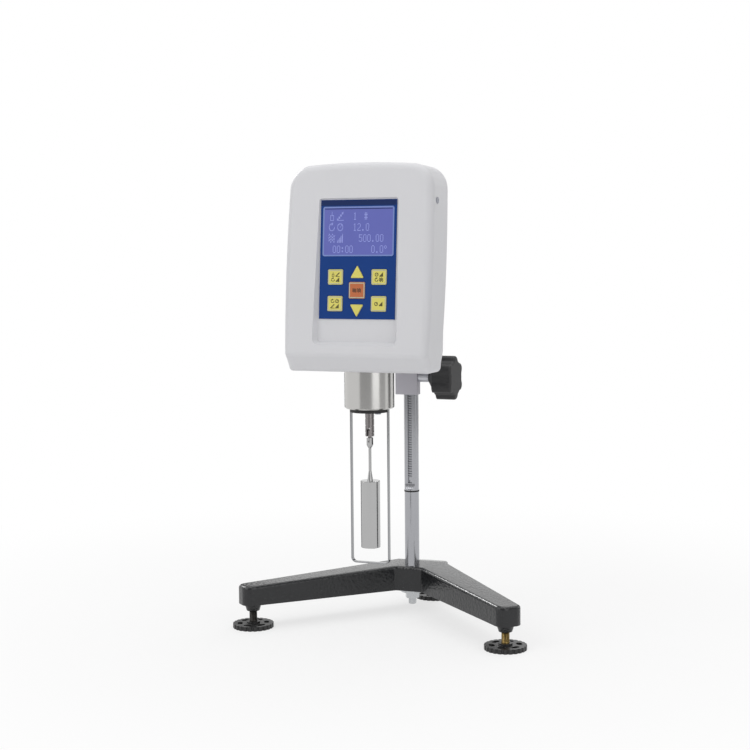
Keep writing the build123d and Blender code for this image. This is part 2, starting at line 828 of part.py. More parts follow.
arm_outer = chassis_half_front
side_screw_seat = face_half_width - screw_head_height + side_screw_proud
level_y = column_y - level_reach
foot_screws = [
    (side * spread, column_y - reach)
    for spread, reach in (foot_screw_front, foot_screw_rear) for side in (-1, 1)
]


def face_local(height, depth):
    """Local y, on a plane parallel to the face and depth behind it, of a height above the bench."""
    return (height - crease_height + depth * sin(lean)) / cos(lean)


def head_section(section_plane, half_width, foot_half_width, bottom, top, foot_radius, crown_radius):
    """Closed outline of the head: flat foot, slightly barrelled sides, gently crowned top."""
    shoulder = top - crown_drop
    shoulder_half_width = half_width - shoulder_taper
    waist = bottom + waist_share * (shoulder - bottom)
    with BuildSketch(section_plane) as section:
        with BuildLine():
            Line((-foot_half_width, bottom), (foot_half_width, bottom))
            ThreePointArc(
                (foot_half_width, bottom), (half_width, waist), (shoulder_half_width, shoulder)
            )
            ThreePointArc((shoulder_half_width, shoulder), (0, top), (-shoulder_half_width, shoulder))
            ThreePointArc(
                (-shoulder_half_width, shoulder), (-half_width, waist), (-foot_half_width, bottom)
            )
        make_face()
        fillet(section.vertices().group_by(Axis.Y)[0], foot_radius)
        fillet(section.vertices().group_by(Axis.Y)[-1], crown_radius)
    return section.sketch


def shell_section(depth, inset=0.0, foot_inset=0.0):
    """Outline of the head on a plane parallel to the face, depth behind it."""
    growth = cover_draft * depth / cover_depth - inset
    return head_section(
        face_plane.offset(-depth), face_half_width + growth, face_foot_half_width + growth,
        face_local(head_bottom + foot_inset, depth), face_local(head_top, 0) + growth,
        foot_corner - foot_inset, face_corner - inset,
    )


def rear_section(inset=0.0):
    """Outline of the head on its upright rear wall, or inset inside it."""
    return head_section(
        front_plane(rear_wall_y - inset), rear_half_width - inset, rear_half_width - 1 - inset,
        head_bottom + inset, rear_top - inset, rear_foot_corner - inset, rear_corner - inset,
    )


def chin_profile(inset=0.0):
    """Side view of what lies in front of the chin, inset behind its face."""
    setback = inset * (1 + chin_slope ** 2) ** 0.5
    with BuildSketch(side_plane(0, face_y, 0)) as profile:
        with BuildLine():
            Polyline(
                (-chin_cut_reach, crease_height), (setback, crease_height),
                (chin_setback + setback + chin_slope * chin_cut_drop, head_bottom - chin_cut_drop),
                (-chin_cut_reach, head_bottom - chin_cut_drop),
                close=True,
            )
        make_face()
    return profile.sketch


def key_outline(outline, margin=0.0):
    """Outline of one key, square, centre or arrow, grown all round by margin."""
    with BuildSketch() as shape:
        if outline == "square":
            RectangleRounded(key_width, key_tall, key_corner)
        elif outline == "centre":
            RectangleRounded(key_centre_width, key_centre_tall, key_corner)
        else:
            tip = arrow_height / 2 if outline == "up" else -arrow_height / 2
            with BuildLine():
                Polyline((-arrow_half_width, -tip), (arrow_half_width, -tip), (0, tip), close=True)
            make_face()
            fillet(shape.vertices(), key_corner / 2)
        if margin:
            offset(amount=margin, mode=Mode.REPLACE)
    return shape.sketch


def recess_rectangle(margin=0.0):
    """The recess's floor, from the bare strip up past the panel, in the panel's own axes."""
    with BuildSketch() as outline:
        with Locations((0, -recess_below - margin)):
            Rectangle(
                panel_width + 2 * recess_margin + 2 * margin,
                recess_below + panel_height + recess_margin + 2 * margin,
                align=(Align.CENTER, Align.MIN),
            )
        fillet(outline.vertices(), recess_corner)
    return outline.sketch


with BuildPart() as front_cavity:
    loft(sections=[
        shell_section(cover_wall, cover_wall, cover_wall),
        shell_section(cover_depth + 1, cover_wall, cover_wall),
    ])
    extrude(chin_profile(cover_wall), amount=2 * face_half_width, both=True, mode=Mode.SUBTRACT)
    with BuildSketch(pan_back_plane):
        add(recess_rectangle(pan_margin))
    extrude(amount=2 * recess_cut, mode=Mode.SUBTRACT)

with BuildPart() as front_cover:
    loft(sections=[shell_section(0), shell_section(cover_depth)])
    face_edges = front_cover.faces().sort_by(Axis.Y)[0].edges()
    above_foot = head_bottom + foot_corner + 1
    fillet(face_edges.filter_by(lambda edge: edge.center().Z > above_foot), face_edge)
    extrude(chin_profile(), amount=2 * face_half_width, both=True, mode=Mode.SUBTRACT)
    chin = front_cover.faces().filter_by(lambda f: f.normal_at().Y < -0.5 and f.normal_at().Z < -0.1)
    fillet(chin.edges().filter_by(lambda edge: abs(edge.tangent_at(0.5).X) < 0.6), face_edge)
    add(front_cavity.part, mode=Mode.SUBTRACT)
    with BuildSketch(floor_plane):
        add(recess_rectangle())
    extrude(amount=recess_cut, taper=-recess_draft, mode=Mode.SUBTRACT)
    # window and key holes through the recess floor
    with BuildSketch(floor_plane):
        with Locations((0, window_middle)):
            Rectangle(window_width - 2 * window_rebate, window_height - 2 * window_rebate)
        with Locations(*[(x, y) for x, y, outline in key_layout.values()]):
            Circle(stem_radius + free_gap)
    extrude(amount=-2 * cover_wall, mode=Mode.SUBTRACT)
    # bosses behind the side screws
    for side in (1, -1):
        with BuildSketch(side_plane(side * arm_outer, arm_y, side_screw_height)):
            Circle(screw_head_radius + 1)
        extrude(amount=side * (face_half_width - arm_outer - 1))
        with BuildSketch(side_plane(side * arm_outer, arm_y, side_screw_height)):
            Circle(screw_radius + free_gap)
        extrude(amount=side * face_half_width, mode=Mode.SUBTRACT)
        with BuildSketch(side_plane(side * side_screw_seat, arm_y, side_screw_height)):
            Circle(screw_head_radius + free_gap)
        extrude(amount=side * face_half_width, mode=Mode.SUBTRACT)
    # pocket of the bubble level, in the top
    with BuildSketch(level_plane(level_top - level_depth - level_wall, level_y)):
        Circle(level_radius + level_wall)
    extrude(amount=level_depth + level_wall - 1)
    with BuildSketch(level_plane(level_top - level_depth, level_y)):
        Circle(level_radius + running_fit)
    extrude(amount=3 * level_depth, mode=Mode.SUBTRACT)
    # foot: half the hole for the lower housing, and the foot screws
    with BuildSketch(level_plane(head_bottom, spindle_y)):
        Circle(housing_spigot_radius + running_fit)
    extrude(amount=2 * cover_wall, mode=Mode.SUBTRACT)
    with BuildSketch(level_plane(head_bottom)):
        with Locations(*foot_screws[:2]):
            Circle(screw_radius + free_gap)
    extrude(amount=2 * cover_wall, mode=Mode.SUBTRACT)
    with BuildSketch(level_plane(head_bottom)):
        with Locations(*foot_screws[:2]):
            Circle(screw_head_radius + free_gap)
    extrude(amount=screw_head_height, mode=Mode.SUBTRACT)
save(front_cover, "front_cover")

with BuildPart() as rear_cavity:
    loft(sections=[shell_section(cover_depth, cover_wall, cover_wall), rear_section(cover_wall)])

with BuildPart() as rear_cover:
    loft(sections=[shell_section(cover_depth, seam), rear_section()])
    fillet(rear_cover.faces().sort_by(Axis.Y)[-1].edges(), rear_edge)
    add(rear_cavity.part, mode=Mode.SUBTRACT)
    with BuildSketch(level_plane(head_bottom, spindle_y)):
        Circle(housing_spigot_radius + running_fit)
    extrude(amount=2 * cover_wall, mode=Mode.SUBTRACT)
    with BuildSketch(level_plane(head_bottom)):
        with Locations(*foot_screws[2:]):
            Circle(screw_radius + free_gap)
    extrude(amount=2 * cover_wall, mode=Mode.SUBTRACT)
    with BuildSketch(level_plane(head_bottom)):
        with Locations(*foot_screws[2:]):
            Circle(screw_head_radius + free_gap)
    extrude(amount=screw_head_height, mode=Mode.SUBTRACT)
    with BuildSketch(front_plane(rear_wall_y)):
        with Locations(*mount_screw_places):
            Circle(mount_screw_radius + free_gap)
        with Locations((-rear_fitting_offset, rear_fitting_height)):
            Circle(jack_radius + running_fit)
        with Locations((rear_fitting_offset, rear_fitting_height)):
            Rectangle(switch_body_width + 2 * running_fit, switch_body_height + 2 * running_fit)
    extrude(amount=2 * cover_wall, both=True, mode=Mode.SUBTRACT)
save(rear_cover, "rear_cover")

# ---------------------------------------------------------------- front panel

with BuildPart() as keypad_overlay:
    with BuildSketch(floor_plane):
        with Locations((0, panel_height / 2)):
            Rectangle(panel_width, panel_height)
        with Locations((0, window_middle)):
            RectangleRounded(
                window_width + 2 * running_fit, window_height + 2 * running_fit, window_corner,
                mode=Mode.SUBTRACT,
            )
        for x, y, outline in key_layout.values():
            with Locations((x, y)):
                add(key_outline(outline, key_gap), mode=Mode.SUBTRACT)
    extrude(amount=panel_thickness)
save(keypad_overlay, "keypad_overlay")

with BuildPart() as display_window:
    with BuildSketch(floor_plane):
        with Locations((0, window_middle)):
            RectangleRounded(window_width, window_height, window_corner)
    extrude(amount=panel_thickness)
save(display_window, "display_window")

with BuildPart() as lcd_glass:
    with BuildSketch(pan_back_plane):
        with Locations((0, window_middle)):
            Rectangle(window_width, window_height)
    extrude(amount=-glass_thickness)
save(lcd_glass, "lcd_glass")

lcd_board_plane = pan_back_plane.offset(-glass_thickness)
with BuildPart() as lcd_board:
    with BuildSketch(lcd_board_plane):
        with Locations((0, window_middle)):
            Rectangle(window_width + lcd_board_margin, window_height + lcd_board_margin)
    extrude(amount=-board_thickness)
save(lcd_board, "lcd_board")

key_board_plane = pan_back_plane.offset(-key_board_gap)
with BuildPart() as keypad_board:
    with BuildSketch(key_board_plane):
        with Locations((0, key_centre_row)):
            Rectangle(panel_width, key_board_height)
    extrude(amount=-board_thickness)
    with BuildSketch(key_board_plane):
        with Locations((0, key_centre_row)):
            with GridLocations(
                panel_width - 2 * standoff_margin, key_board_height - 2 * standoff_margin, 2, 2
            ):
                Circle(standoff_radius)
    extrude(amount=key_board_gap)
save(keypad_board, "keypad_board")

with BuildPart() as key_switches:
    with BuildSketch(key_board_plane):
        with Locations(*[(x, y) for x, y, outline in key_layout.values()]):
            Rectangle(switch_size, switch_size)
    extrude(amount=switch_height)
save(key_switches, "key_switches")

switch_top = key_board_gap - switch_height + cover_wall + panel_thickness
stem_tip = key_travel + running_fit - switch_top
for name, (x, y, outline) in key_layout.items():
    with BuildPart() as key:
        with BuildSketch(panel_plane.offset(key_bottom)):
            with Locations((x, y)):
                add(key_outline(outline))
        extrude(amount=key_thickness)
        with BuildSketch(panel_plane.offset(stem_tip)):
            with Locations((x, y)):
                Circle(stem_radius)
        extrude(amount=key_bottom - stem_tip)
        with BuildSketch(panel_plane.offset(stem_tip)):
            with Locations((x, y)):
                Circle(stem_flange_radius)
        extrude(amount=stem_flange)
    save(key, name)

# ================================================================ inside the head

base_top = head_bottom + cover_wall + chassis_thickness
flange_front_y = rear_wall_y - cover_wall - chassis_thickness
board_back_y = flange_front_y - main_board_gap
with BuildPart() as chassis:
    with BuildSketch(level_plane(head_bottom + cover_wall)):
        with BuildLine():
            Polyline(
                (-chassis_half_front, face_y + chin_setback + chassis_front_gap),
                (chassis_half_front, face_y + chin_setback + chassis_front_gap),
                (chassis_half_front, arm_y + arm_width),
                (chassis_half_rear, flange_front_y),
                (chassis_half_rear, rear_wall_y - cover_wall),
                (-chassis_half_rear, rear_wall_y - cover_wall),
                (-chassis_half_rear, flange_front_y),
                (-chassis_half_front, arm_y + arm_width),
                close=True,
            )
        make_face()
        with Locations((0, spindle_y)):
            Circle(housing_bore + 1, mode=Mode.SUBTRACT)
            with PolarLocations(housing_screw_circle, 3, start_angle=90):
                Circle(screw_radius + free_gap, mode=Mode.SUBTRACT)
        with Locations(*foot_screws):
            Circle(screw_radius + seat_fit, mode=Mode.SUBTRACT)
    extrude(amount=chassis_thickness)
    with BuildSketch(level_plane(base_top)):
        with Locations((0, flange_front_y)):
            Rectangle(2 * chassis_half_rear, chassis_thickness, align=(Align.CENTER, Align.MIN))
    extrude(amount=flange_top - base_top)
    with BuildSketch(level_plane(base_top)):
        with Locations((-chassis_half_front + arm_thickness / 2, arm_y)):
            Rectangle(arm_thickness, arm_width)
        with Locations((chassis_half_front - arm_thickness / 2, arm_y)):
            Rectangle(arm_thickness, arm_width)
    extrude(amount=arm_top - base_top)
    with BuildSketch(front_plane(flange_front_y)):
        with Locations((0, main_board_middle)):
            with GridLocations(*standoff_grid, 2, 2):
                Circle(standoff_radius)
    extrude(amount=main_board_gap)
    with BuildSketch(front_plane(rear_wall_y)):
        with Locations(*mount_screw_places):
            Circle(mount_screw_radius + free_gap)
        with Locations((-rear_fitting_offset, rear_fitting_height)):
            Circle(jack_radius + 1)
        with Locations((rear_fitting_offset, rear_fitting_height)):
            Rectangle(switch_body_width + 1, switch_body_height + 1)
    extrude(amount=2 * cover_wall + chassis_thickness, mode=Mode.SUBTRACT)
    with BuildSketch(side_plane(0, arm_y, side_screw_height)):
        Circle(screw_radius + seat_fit)
    extrude(amount=2 * chassis_half_front, both=True, mode=Mode.SUBTRACT)
save(chassis, "chassis")

with BuildPart() as main_board:
    with BuildSketch(front_plane(board_back_y, main_board_middle)):
        Rectangle(2 * main_board_half_width, main_board_height)
    extrude(amount=board_thickness)
    with BuildSketch(front_plane(board_back_y - board_thickness, main_board_middle)):
        with Locations(*chip_places):
            Rectangle(chip_width, chip_length)
        with Locations(connector_place):
            Rectangle(connector_width, connector_height)
        with Locations((0, -capacitor_drop)):
            with GridLocations(capacitor_spacing, 1, 3, 1):
                Circle(capacitor_radius)
    extrude(amount=component_height)
save(main_board, "main_board")

with BuildPart() as gear_plate:
    plate_middle_y = column_y - (gear_plate_front + gear_plate_rear) / 2
    with BuildSketch(level_plane(gear_plate_bottom, plate_middle_y)):
        RectangleRounded(2 * gear_plate_half_width, gear_plate_front - gear_plate_rear, 4)
    extrude(amount=gear_plate_thickness)
    with BuildSketch(level_plane(gear_plate_bottom, spindle_y)):
        Circle(bearing_radius + seat_fit)
    extrude(amount=gear_plate_thickness, mode=Mode.SUBTRACT)
    with BuildSketch(level_plane(gear_plate_bottom, motor_y)):
        Circle(motor_pilot_radius + seat_fit)
        with GridLocations(2 * motor_screw_spread, 1, 2, 1):
            Circle(screw_radius + free_gap)
    extrude(amount=gear_plate_thickness, mode=Mode.SUBTRACT)
    with BuildSketch(level_plane(gear_plate_bottom)):
        with Locations(*pillar_places):
            Circle(screw_radius + free_gap)
    extrude(amount=gear_plate_thickness, mode=Mode.SUBTRACT)
save(gear_plate, "gear_plate")

with BuildPart() as pillars:
    with BuildSketch(level_plane(base_top)):
        with Locations(*pillar_places):
            RegularPolygon(pillar_radius, 6)
    extrude(amount=gear_plate_bottom - base_top)
    with BuildSketch(level_plane(gear_plate_bottom)):
        with Locations(*pillar_places):
            Circle(screw_radius + seat_fit)
    extrude(amount=-screw_length, mode=Mode.SUBTRACT)
save(pillars, "pillars")

plate_top = gear_plate_bottom + gear_plate_thickness
with BuildPart() as motor_body:
    with BuildSketch(level_plane(plate_top, motor_y)):
        Circle(motor_radius)
    extrude(amount=motor_height)
    fillet(motor_body.edges().group_by(Axis.Z)[-1], motor_edge)
    with BuildSketch(level_plane(plate_top, motor_y)):
        Circle(motor_pilot_radius)
    extrude(amount=-gear_plate_thickness + 1)
    with BuildSketch(level_plane(plate_top - gear_plate_thickness, motor_y)):
        Circle(motor_shaft_radius + running_fit)
    extrude(amount=2 * gear_plate_thickness + motor_bearing_depth, mode=Mode.SUBTRACT)
    with BuildSketch(level_plane(plate_top, motor_y)):
        with GridLocations(2 * motor_screw_spread, 1, 2, 1):
            Circle(screw_radius + seat_fit)
    extrude(amount=screw_length - gear_plate_thickness, mode=Mode.SUBTRACT)
save(motor_body, "motor_body")

with BuildPart() as motor_pinion:
    with BuildSketch(level_plane(drive_gear_bottom, motor_y)):
        add(toothed_wheel(motor_teeth, gear_module, -90))
    extrude(amount=gear_width)
    with BuildSketch(level_plane(drive_gear_bottom, motor_y)):
        Circle(motor_shaft_radius)
    extrude(amount=plate_top + gear_plate_thickness + motor_bearing_depth - drive_gear_bottom - free_gap)
save(motor_pinion, "motor_pinion")

with BuildPart() as drive_gear:
    with BuildSketch(level_plane(drive_gear_bottom, spindle_y)):
        add(toothed_wheel(drive_teeth, gear_module, 90 + 180 / drive_teeth))
        with PolarLocations(gear_hole_circle, 6):
            Circle(gear_hole_radius, mode=Mode.SUBTRACT)
        Circle(drive_shaft_radius + seat_fit, mode=Mode.SUBTRACT)
    extrude(amount=gear_width)
save(drive_gear, "drive_gear")

with BuildPart() as drive_shaft:
    with BuildSketch(level_plane(upper_disc_height, spindle_y)):
        Circle(disc_radius)
        with PolarLocations(disc_radius - disc_notch_length / 2, 4):
            Rectangle(disc_notch_length + seat_fit, disc_notch_width, mode=Mode.SUBTRACT)
    extrude(amount=disc_thickness)
    with BuildSketch(level_plane(upper_disc_height - hub_drop, spindle_y)):
        Circle(hub_radius)
    extrude(amount=drive_gear_bottom - upper_disc_height + hub_drop)
    with BuildSketch(level_plane(drive_gear_bottom, spindle_y)):
        Circle(drive_shaft_radius)
    extrude(amount=drive_shaft_top - drive_gear_bottom)
    with BuildSketch(level_plane(spring_height + spring_width, spindle_y)):
        with Locations((0, -spring_outer)):
            Circle(spring_post_radius)
    extrude(amount=upper_disc_height - spring_height - spring_width)
    with BuildSketch(level_plane(upper_disc_height - hub_drop, spindle_y)):
        Circle(pivot_tip_radius + running_fit)
    extrude(amount=pivot_top - upper_disc_height + hub_drop + free_gap, mode=Mode.SUBTRACT)
save(drive_shaft, "drive_shaft")

with BuildPart() as hairspring:
    with BuildSketch(level_plane(spring_height, spindle_y)):
        for half_turn in range(2 * spring_turns):
            reach = spring_inner + half_turn * spring_pitch / 2
            side = -1 if half_turn % 2 else 1
            with Locations((side * spring_pitch / 4, 0)):
                with BuildSketch(mode=Mode.PRIVATE) as coil:
                    Circle(reach + spring_thickness)
                    Circle(reach, mode=Mode.SUBTRACT)
                    far_half = Align.MAX if side > 0 else Align.MIN
                    Rectangle(
                        4 * disc_radius, 4 * disc_radius, align=(Align.CENTER, far_half),
                        mode=Mode.SUBTRACT,
                    )
                add(coil.sketch)
    extrude(amount=spring_width)
save(hairspring, "hairspring")

with BuildPart() as photo_sensors:
    post_middle = (sensor_post_near + sensor_post_far) / 2
    with BuildSketch(level_plane(base_top, spindle_y)):
        with Locations((-post_middle, 0)):
            Rectangle(sensor_post_far - sensor_post_near, 2 * sensor_half_depth)
    extrude(amount=sensor_top - base_top)
    with BuildSketch(front_plane(spindle_y + sensor_half_depth)):
        for disc_height in (lower_disc_height, upper_disc_height):
            middle = disc_height + disc_thickness / 2
            for side in (-1, 1):
                with Locations((-post_middle, middle + side * (sensor_slot + sensor_finger) / 2)):
                    Rectangle(
                        post_middle - sensor_finger_tip, sensor_finger,
                        align=(Align.MIN, Align.CENTER),
                    )
    extrude(amount=2 * sensor_half_depth)
save(photo_sensors, "photo_sensors")

with BuildPart() as bubble_level:
    with BuildSketch(level_plane(level_top - level_depth, level_y)):
        Circle(level_radius)
    extrude(amount=level_depth)
    fillet(bubble_level.edges().group_by(Axis.Z)[-1], level_edge)
save(bubble_level, "bubble_level")

# ---------------------------------------------------------------- rear fittings

with BuildPart() as power_jack:
    with BuildSketch(front_plane(rear_wall_y, rear_fitting_height, -rear_fitting_offset)):
        Circle(jack_flange_radius)
    extrude(amount=-jack_flange)
    with BuildSketch(front_plane(rear_wall_y, rear_fitting_height, -rear_fitting_offset)):
        Circle(jack_radius)
    extrude(amount=jack_depth)
    with BuildSketch(front_plane(rear_wall_y + jack_flange, rear_fitting_height, -rear_fitting_offset)):
        Circle(jack_bore)
        Circle(jack_pin_radius, mode=Mode.SUBTRACT)
    extrude(amount=jack_flange + jack_bore_depth, mode=Mode.SUBTRACT)
save(power_jack, "power_jack")

rocker_y = rear_wall_y + rocker_proud - rocker_radius
with BuildPart() as switch_frame:
    with BuildSketch(front_plane(rear_wall_y, rear_fitting_height, rear_fitting_offset)):
        Rectangle(switch_frame_width, switch_frame_height)
    extrude(amount=-switch_frame_flange)
    with BuildSketch(front_plane(rear_wall_y, rear_fitting_height, rear_fitting_offset)):
        Rectangle(switch_body_width, switch_body_height)
    extrude(amount=switch_body_depth)
    with BuildSketch(side_plane(rear_fitting_offset, rocker_y, rear_fitting_height)):
        Circle(rocker_radius + free_gap)
        with Locations((0, 0)):
            Rectangle(
                2 * rocker_radius, rocker_length + 4 * free_gap, mode=Mode.INTERSECT
            )
    extrude(amount=rocker_width / 2 + free_gap, both=True, mode=Mode.SUBTRACT)
save(switch_frame, "switch_frame")

with BuildPart() as switch_rocker:
    with BuildSketch(side_plane(rear_fitting_offset, rocker_y, rear_fitting_height)):
        Circle(rocker_radius)
        Rectangle(2 * rocker_radius, rocker_length - 4, mode=Mode.INTERSECT)
        with Locations((-rocker_radius, 0)):
            Rectangle(
                rocker_radius + 1, 2 * rocker_radius, align=(Align.MIN, Align.CENTER),
                mode=Mode.SUBTRACT,
            )
    extrude(amount=rocker_width / 2, both=True)
save(switch_rocker, "switch_rocker")

# ================================================================ lower housing, guard and spindle

with BuildPart() as lower_housing:
    with BuildSketch(level_plane(housing_bottom, spindle_y)):
        Circle(housing_radius)
    extrude(amount=head_bottom - housing_bottom)
    chamfer(lower_housing.edges().group_by(Axis.Z)[0], housing_chamfer)
    with BuildSketch(level_plane(head_bottom, spindle_y)):
        Circle(housing_spigot_radius)
    extrude(amount=cover_wall)
    with BuildSketch(level_plane(housing_bottom, spindle_y)):
        Circle(housing_bore)
    extrude(amount=2 * housing_radius, mode=Mode.SUBTRACT)
    for seat in bearing_seats[:2]:
        with BuildSketch(level_plane(seat, spindle_y)):
            Circle(bearing_radius + seat_fit)
        extrude(amount=bearing_width, mode=Mode.SUBTRACT)
    with BuildSketch(level_plane(head_bottom + cover_wall, spindle_y)):
        with PolarLocations(housing_screw_circle, 3, start_angle=90):
            Circle(screw_radius + seat_fit)
    extrude(amount=-screw_length, mode=Mode.SUBTRACT)
    with BuildSketch(level_plane(housing_bottom, spindle_y)):
        with Locations(*ring_screw_places):
            Circle(screw_radius + seat_fit)
    extrude(amount=screw_length, mode=Mode.SUBTRACT)
save(lower_housing, "lower_housing")

with BuildPart() as shaft_bearings:
    for seat in bearing_seats:
        with BuildSketch(level_plane(seat, spindle_y)):
            Circle(bearing_radius)
            Circle(pivot_radius + running_fit, mode=Mode.SUBTRACT)
        extrude(amount=bearing_width if seat < gear_plate_bottom else gear_plate_thickness)
save(shaft_bearings, "shaft_bearings")

with BuildPart() as guard_ring:
    with BuildSketch(level_plane(housing_bottom, spindle_y)):
        Circle(guard_ring_radius)
        Circle(guard_ring_bore, mode=Mode.SUBTRACT)
        with Locations(*ring_screw_places):
            Circle(screw_radius + free_gap, mode=Mode.SUBTRACT)
    extrude(amount=-guard_ring_thickness)
    with BuildSketch(level_plane(housing_bottom, spindle_y)):
        for side in (-1, 1):
            with Locations((side * (guard_tab - guard_strip / 2 - running_fit), 0)):
                Rectangle(
                    guard_ring_radius, guard_width + 2 * running_fit,
                    align=(Align.MIN if side > 0 else Align.MAX, Align.CENTER),
                )
    extrude(amount=-guard_strip - running_fit, mode=Mode.SUBTRACT)
    with BuildSketch(level_plane(housing_bottom, spindle_y)):
        for side in (-1, 1):
            with Locations((side * (guard_ring_radius - guard_seat - running_fit), 0)):
                Rectangle(
                    2 * guard_strip, guard_width + 2 * running_fit,
                    align=(Align.MIN if side > 0 else Align.MAX, Align.CENTER),
                )
    extrude(amount=-guard_ring_thickness, mode=Mode.SUBTRACT)
save(guard_ring, "guard_ring")

with BuildPart() as guard:
    limb = guard_ring_radius - guard_seat + guard_strip / 2
    with BuildSketch(front_plane(spindle_y + guard_width / 2)):
        with BuildLine():
            FilletPolyline(
                (-guard_tab, housing_bottom - guard_strip / 2),
                (-limb, housing_bottom - guard_strip / 2),
                (-limb, guard_bottom + guard_strip / 2),
                (limb, guard_bottom + guard_strip / 2),
                (limb, housing_bottom - guard_strip / 2),
                (guard_tab, housing_bottom - guard_strip / 2),
                radius=(guard_tab_corner, guard_corner, guard_corner, guard_tab_corner),
            )
            offset(amount=guard_strip / 2, kind=Kind.TANGENT)
        make_face()
    extrude(amount=guard_width)
save(guard, "guard")


with BuildPart() as pivot_shaft:
    with BuildSketch(level_plane(pivot_bottom, spindle_y)):
        Circle(pivot_radius)
    extrude(amount=pivot_shoulder - pivot_bottom)
    with BuildSketch(level_plane(pivot_shoulder, spindle_y)):
        Circle(pivot_tip_radius)
    extrude(amount=pivot_top - pivot_shoulder)
save(pivot_shaft, "pivot_shaft")

with BuildPart() as lower_disc:
    with BuildSketch(level_plane(lower_disc_height, spindle_y)):
        Circle(disc_radius)
        with PolarLocations(disc_radius - disc_notch_length / 2, 4):
            Rectangle(disc_notch_length + seat_fit, disc_notch_width, mode=Mode.SUBTRACT)
    extrude(amount=disc_thickness)
    with BuildSketch(level_plane(base_top + 1, spindle_y)):
        Circle(hub_radius)
    extrude(amount=pivot_shoulder - base_top - 1 - free_gap)
    with BuildSketch(level_plane(base_top, spindle_y)):
        Circle(pivot_radius + seat_fit)
    extrude(amount=hub_radius + pivot_shoulder, mode=Mode.SUBTRACT)
save(lower_disc, "lower_disc")

with BuildPart() as coupling_sleeve:
    with BuildSketch(level_plane(sleeve_bottom, spindle_y)):
        Circle(sleeve_radius)
    extrude(amount=sleeve_top - sleeve_bottom)
    chamfer(coupling_sleeve.edges().group_by(Axis.Z)[0], sleeve_chamfer)
    for groove in sleeve_grooves:
        with BuildSketch(level_plane(sleeve_top - groove, spindle_y)):
            Circle(sleeve_radius + 1)
            Circle(sleeve_radius - sleeve_groove_depth, mode=Mode.SUBTRACT)
        extrude(amount=sleeve_groove_width, mode=Mode.SUBTRACT)
    with BuildSketch(level_plane(pivot_bottom, spindle_y)):
        Circle(pivot_radius + seat_fit)
    extrude(amount=sleeve_top, mode=Mode.SUBTRACT)
    with BuildSketch(level_plane(sleeve_bottom, spindle_y)):
        Rectangle(sleeve_slot, 3 * sleeve_radius)
    extrude(amount=sleeve_slot_height, mode=Mode.SUBTRACT)
    with BuildSketch(side_plane(0, spindle_y, link_top_pin)):
        Circle(link_pin_radius + running_fit)
    extrude(amount=2 * sleeve_radius, both=True, mode=Mode.SUBTRACT)
save(coupling_sleeve, "coupling_sleeve")

with BuildPart() as coupling_link:
    with BuildSketch(side_plane(0, spindle_y, 0)):
        with Locations((0, link_top_pin)):
            Circle(link_end_radius)
        with Locations((0, (link_top_pin + link_bottom_pin) / 2)):
            Rectangle(link_thickness, link_top_pin - link_bottom_pin)
        with Locations((0, link_bottom_pin)):
            Circle(link_thickness / 2)
    extrude(amount=link_thickness / 2, both=True)
    with BuildSketch(side_plane(0, spindle_y, link_top_pin)):
        Circle(link_pin_radius)
    extrude(amount=sleeve_radius - 2 * free_gap, both=True)
    with BuildSketch(front_plane(spindle_y, link_bottom_pin)):
        Circle(link_pin_radius)
    extrude(amount=spindle_head_radius - free_gap, both=True)
save(coupling_link, "coupling_link")

with BuildPart() as spindle:
    with BuildSketch(side_plane(0, spindle_y, 0)):
        with BuildLine():
            Polyline(
                (0, spindle_top - spindle_length),
                (spindle_radius - spindle_edge, spindle_top - spindle_length),
                (spindle_radius, spindle_top - spindle_length + spindle_edge),
                (spindle_radius, spindle_top - spindle_edge),
                (spindle_radius - spindle_edge, spindle_top),
                (spindle_cone_radius, spindle_top),
                (spindle_shaft_radius, spindle_cone_top),
                (spindle_shaft_radius, spindle_head_bottom - spindle_neck),
                (spindle_head_radius - spindle_head_taper / 2, spindle_head_bottom),
                (spindle_head_radius, spindle_head_bottom + spindle_head_taper),
                (spindle_head_radius, spindle_head_top),
                (0, spindle_head_top),
                close=True,
            )
        make_face()
    revolve(axis=Axis((0, spindle_y, 0), (0, 0, 1)))
    with BuildSketch(level_plane(spindle_slot_floor, spindle_y)):
        Rectangle(3 * spindle_head_radius, sleeve_slot)
    extrude(amount=spindle_head_top, mode=Mode.SUBTRACT)
    with BuildSketch(front_plane(spindle_y, link_bottom_pin)):
        Circle(link_pin_radius + running_fit)
    extrude(amount=2 * spindle_head_radius, both=True, mode=Mode.SUBTRACT)
save(spindle, "spindle")

# ================================================================ screws


def screw(seat, length, radius, head_radius, head_height, socket):
    """One socket screw whose head stands on the seat plane, its shank running behind it."""
    with BuildPart() as one_screw:
        with BuildSketch(seat):
            Circle(head_radius)
        extrude(amount=head_height)
        with BuildSketch(seat):
            Circle(radius)
        extrude(amount=-length)
        with BuildSketch(seat.offset(head_height)):
            RegularPolygon(socket, 6, major_radius=False)
        extrude(amount=-head_height / 2, mode=Mode.SUBTRACT)
    return one_screw.part


def small_screw(x, y, z, direction, length):
    """One of the small screws, its head on a seat at (x, y, z) facing along direction."""
    seat = Plane(origin=(x, y, z), z_dir=direction)
    return screw(seat, length, screw_radius, screw_head_radius, screw_head_height, screw_socket)


with BuildPart() as cover_screws:
    for side in (1, -1):
        add(small_screw(side * side_screw_seat, arm_y, side_screw_height, (side, 0, 0), side_screw_length))
    foot_seat = head_bottom + screw_head_height
    for x, y in foot_screws:
        add(small_screw(x, y, foot_seat, (0, 0, -1), base_top - foot_seat))
    for x, y in ring_screw_places:
        ring_foot = housing_bottom - guard_ring_thickness
        add(small_screw(x, spindle_y + y, ring_foot, (0, 0, -1), screw_length))
save(cover_screws, "cover_screws")

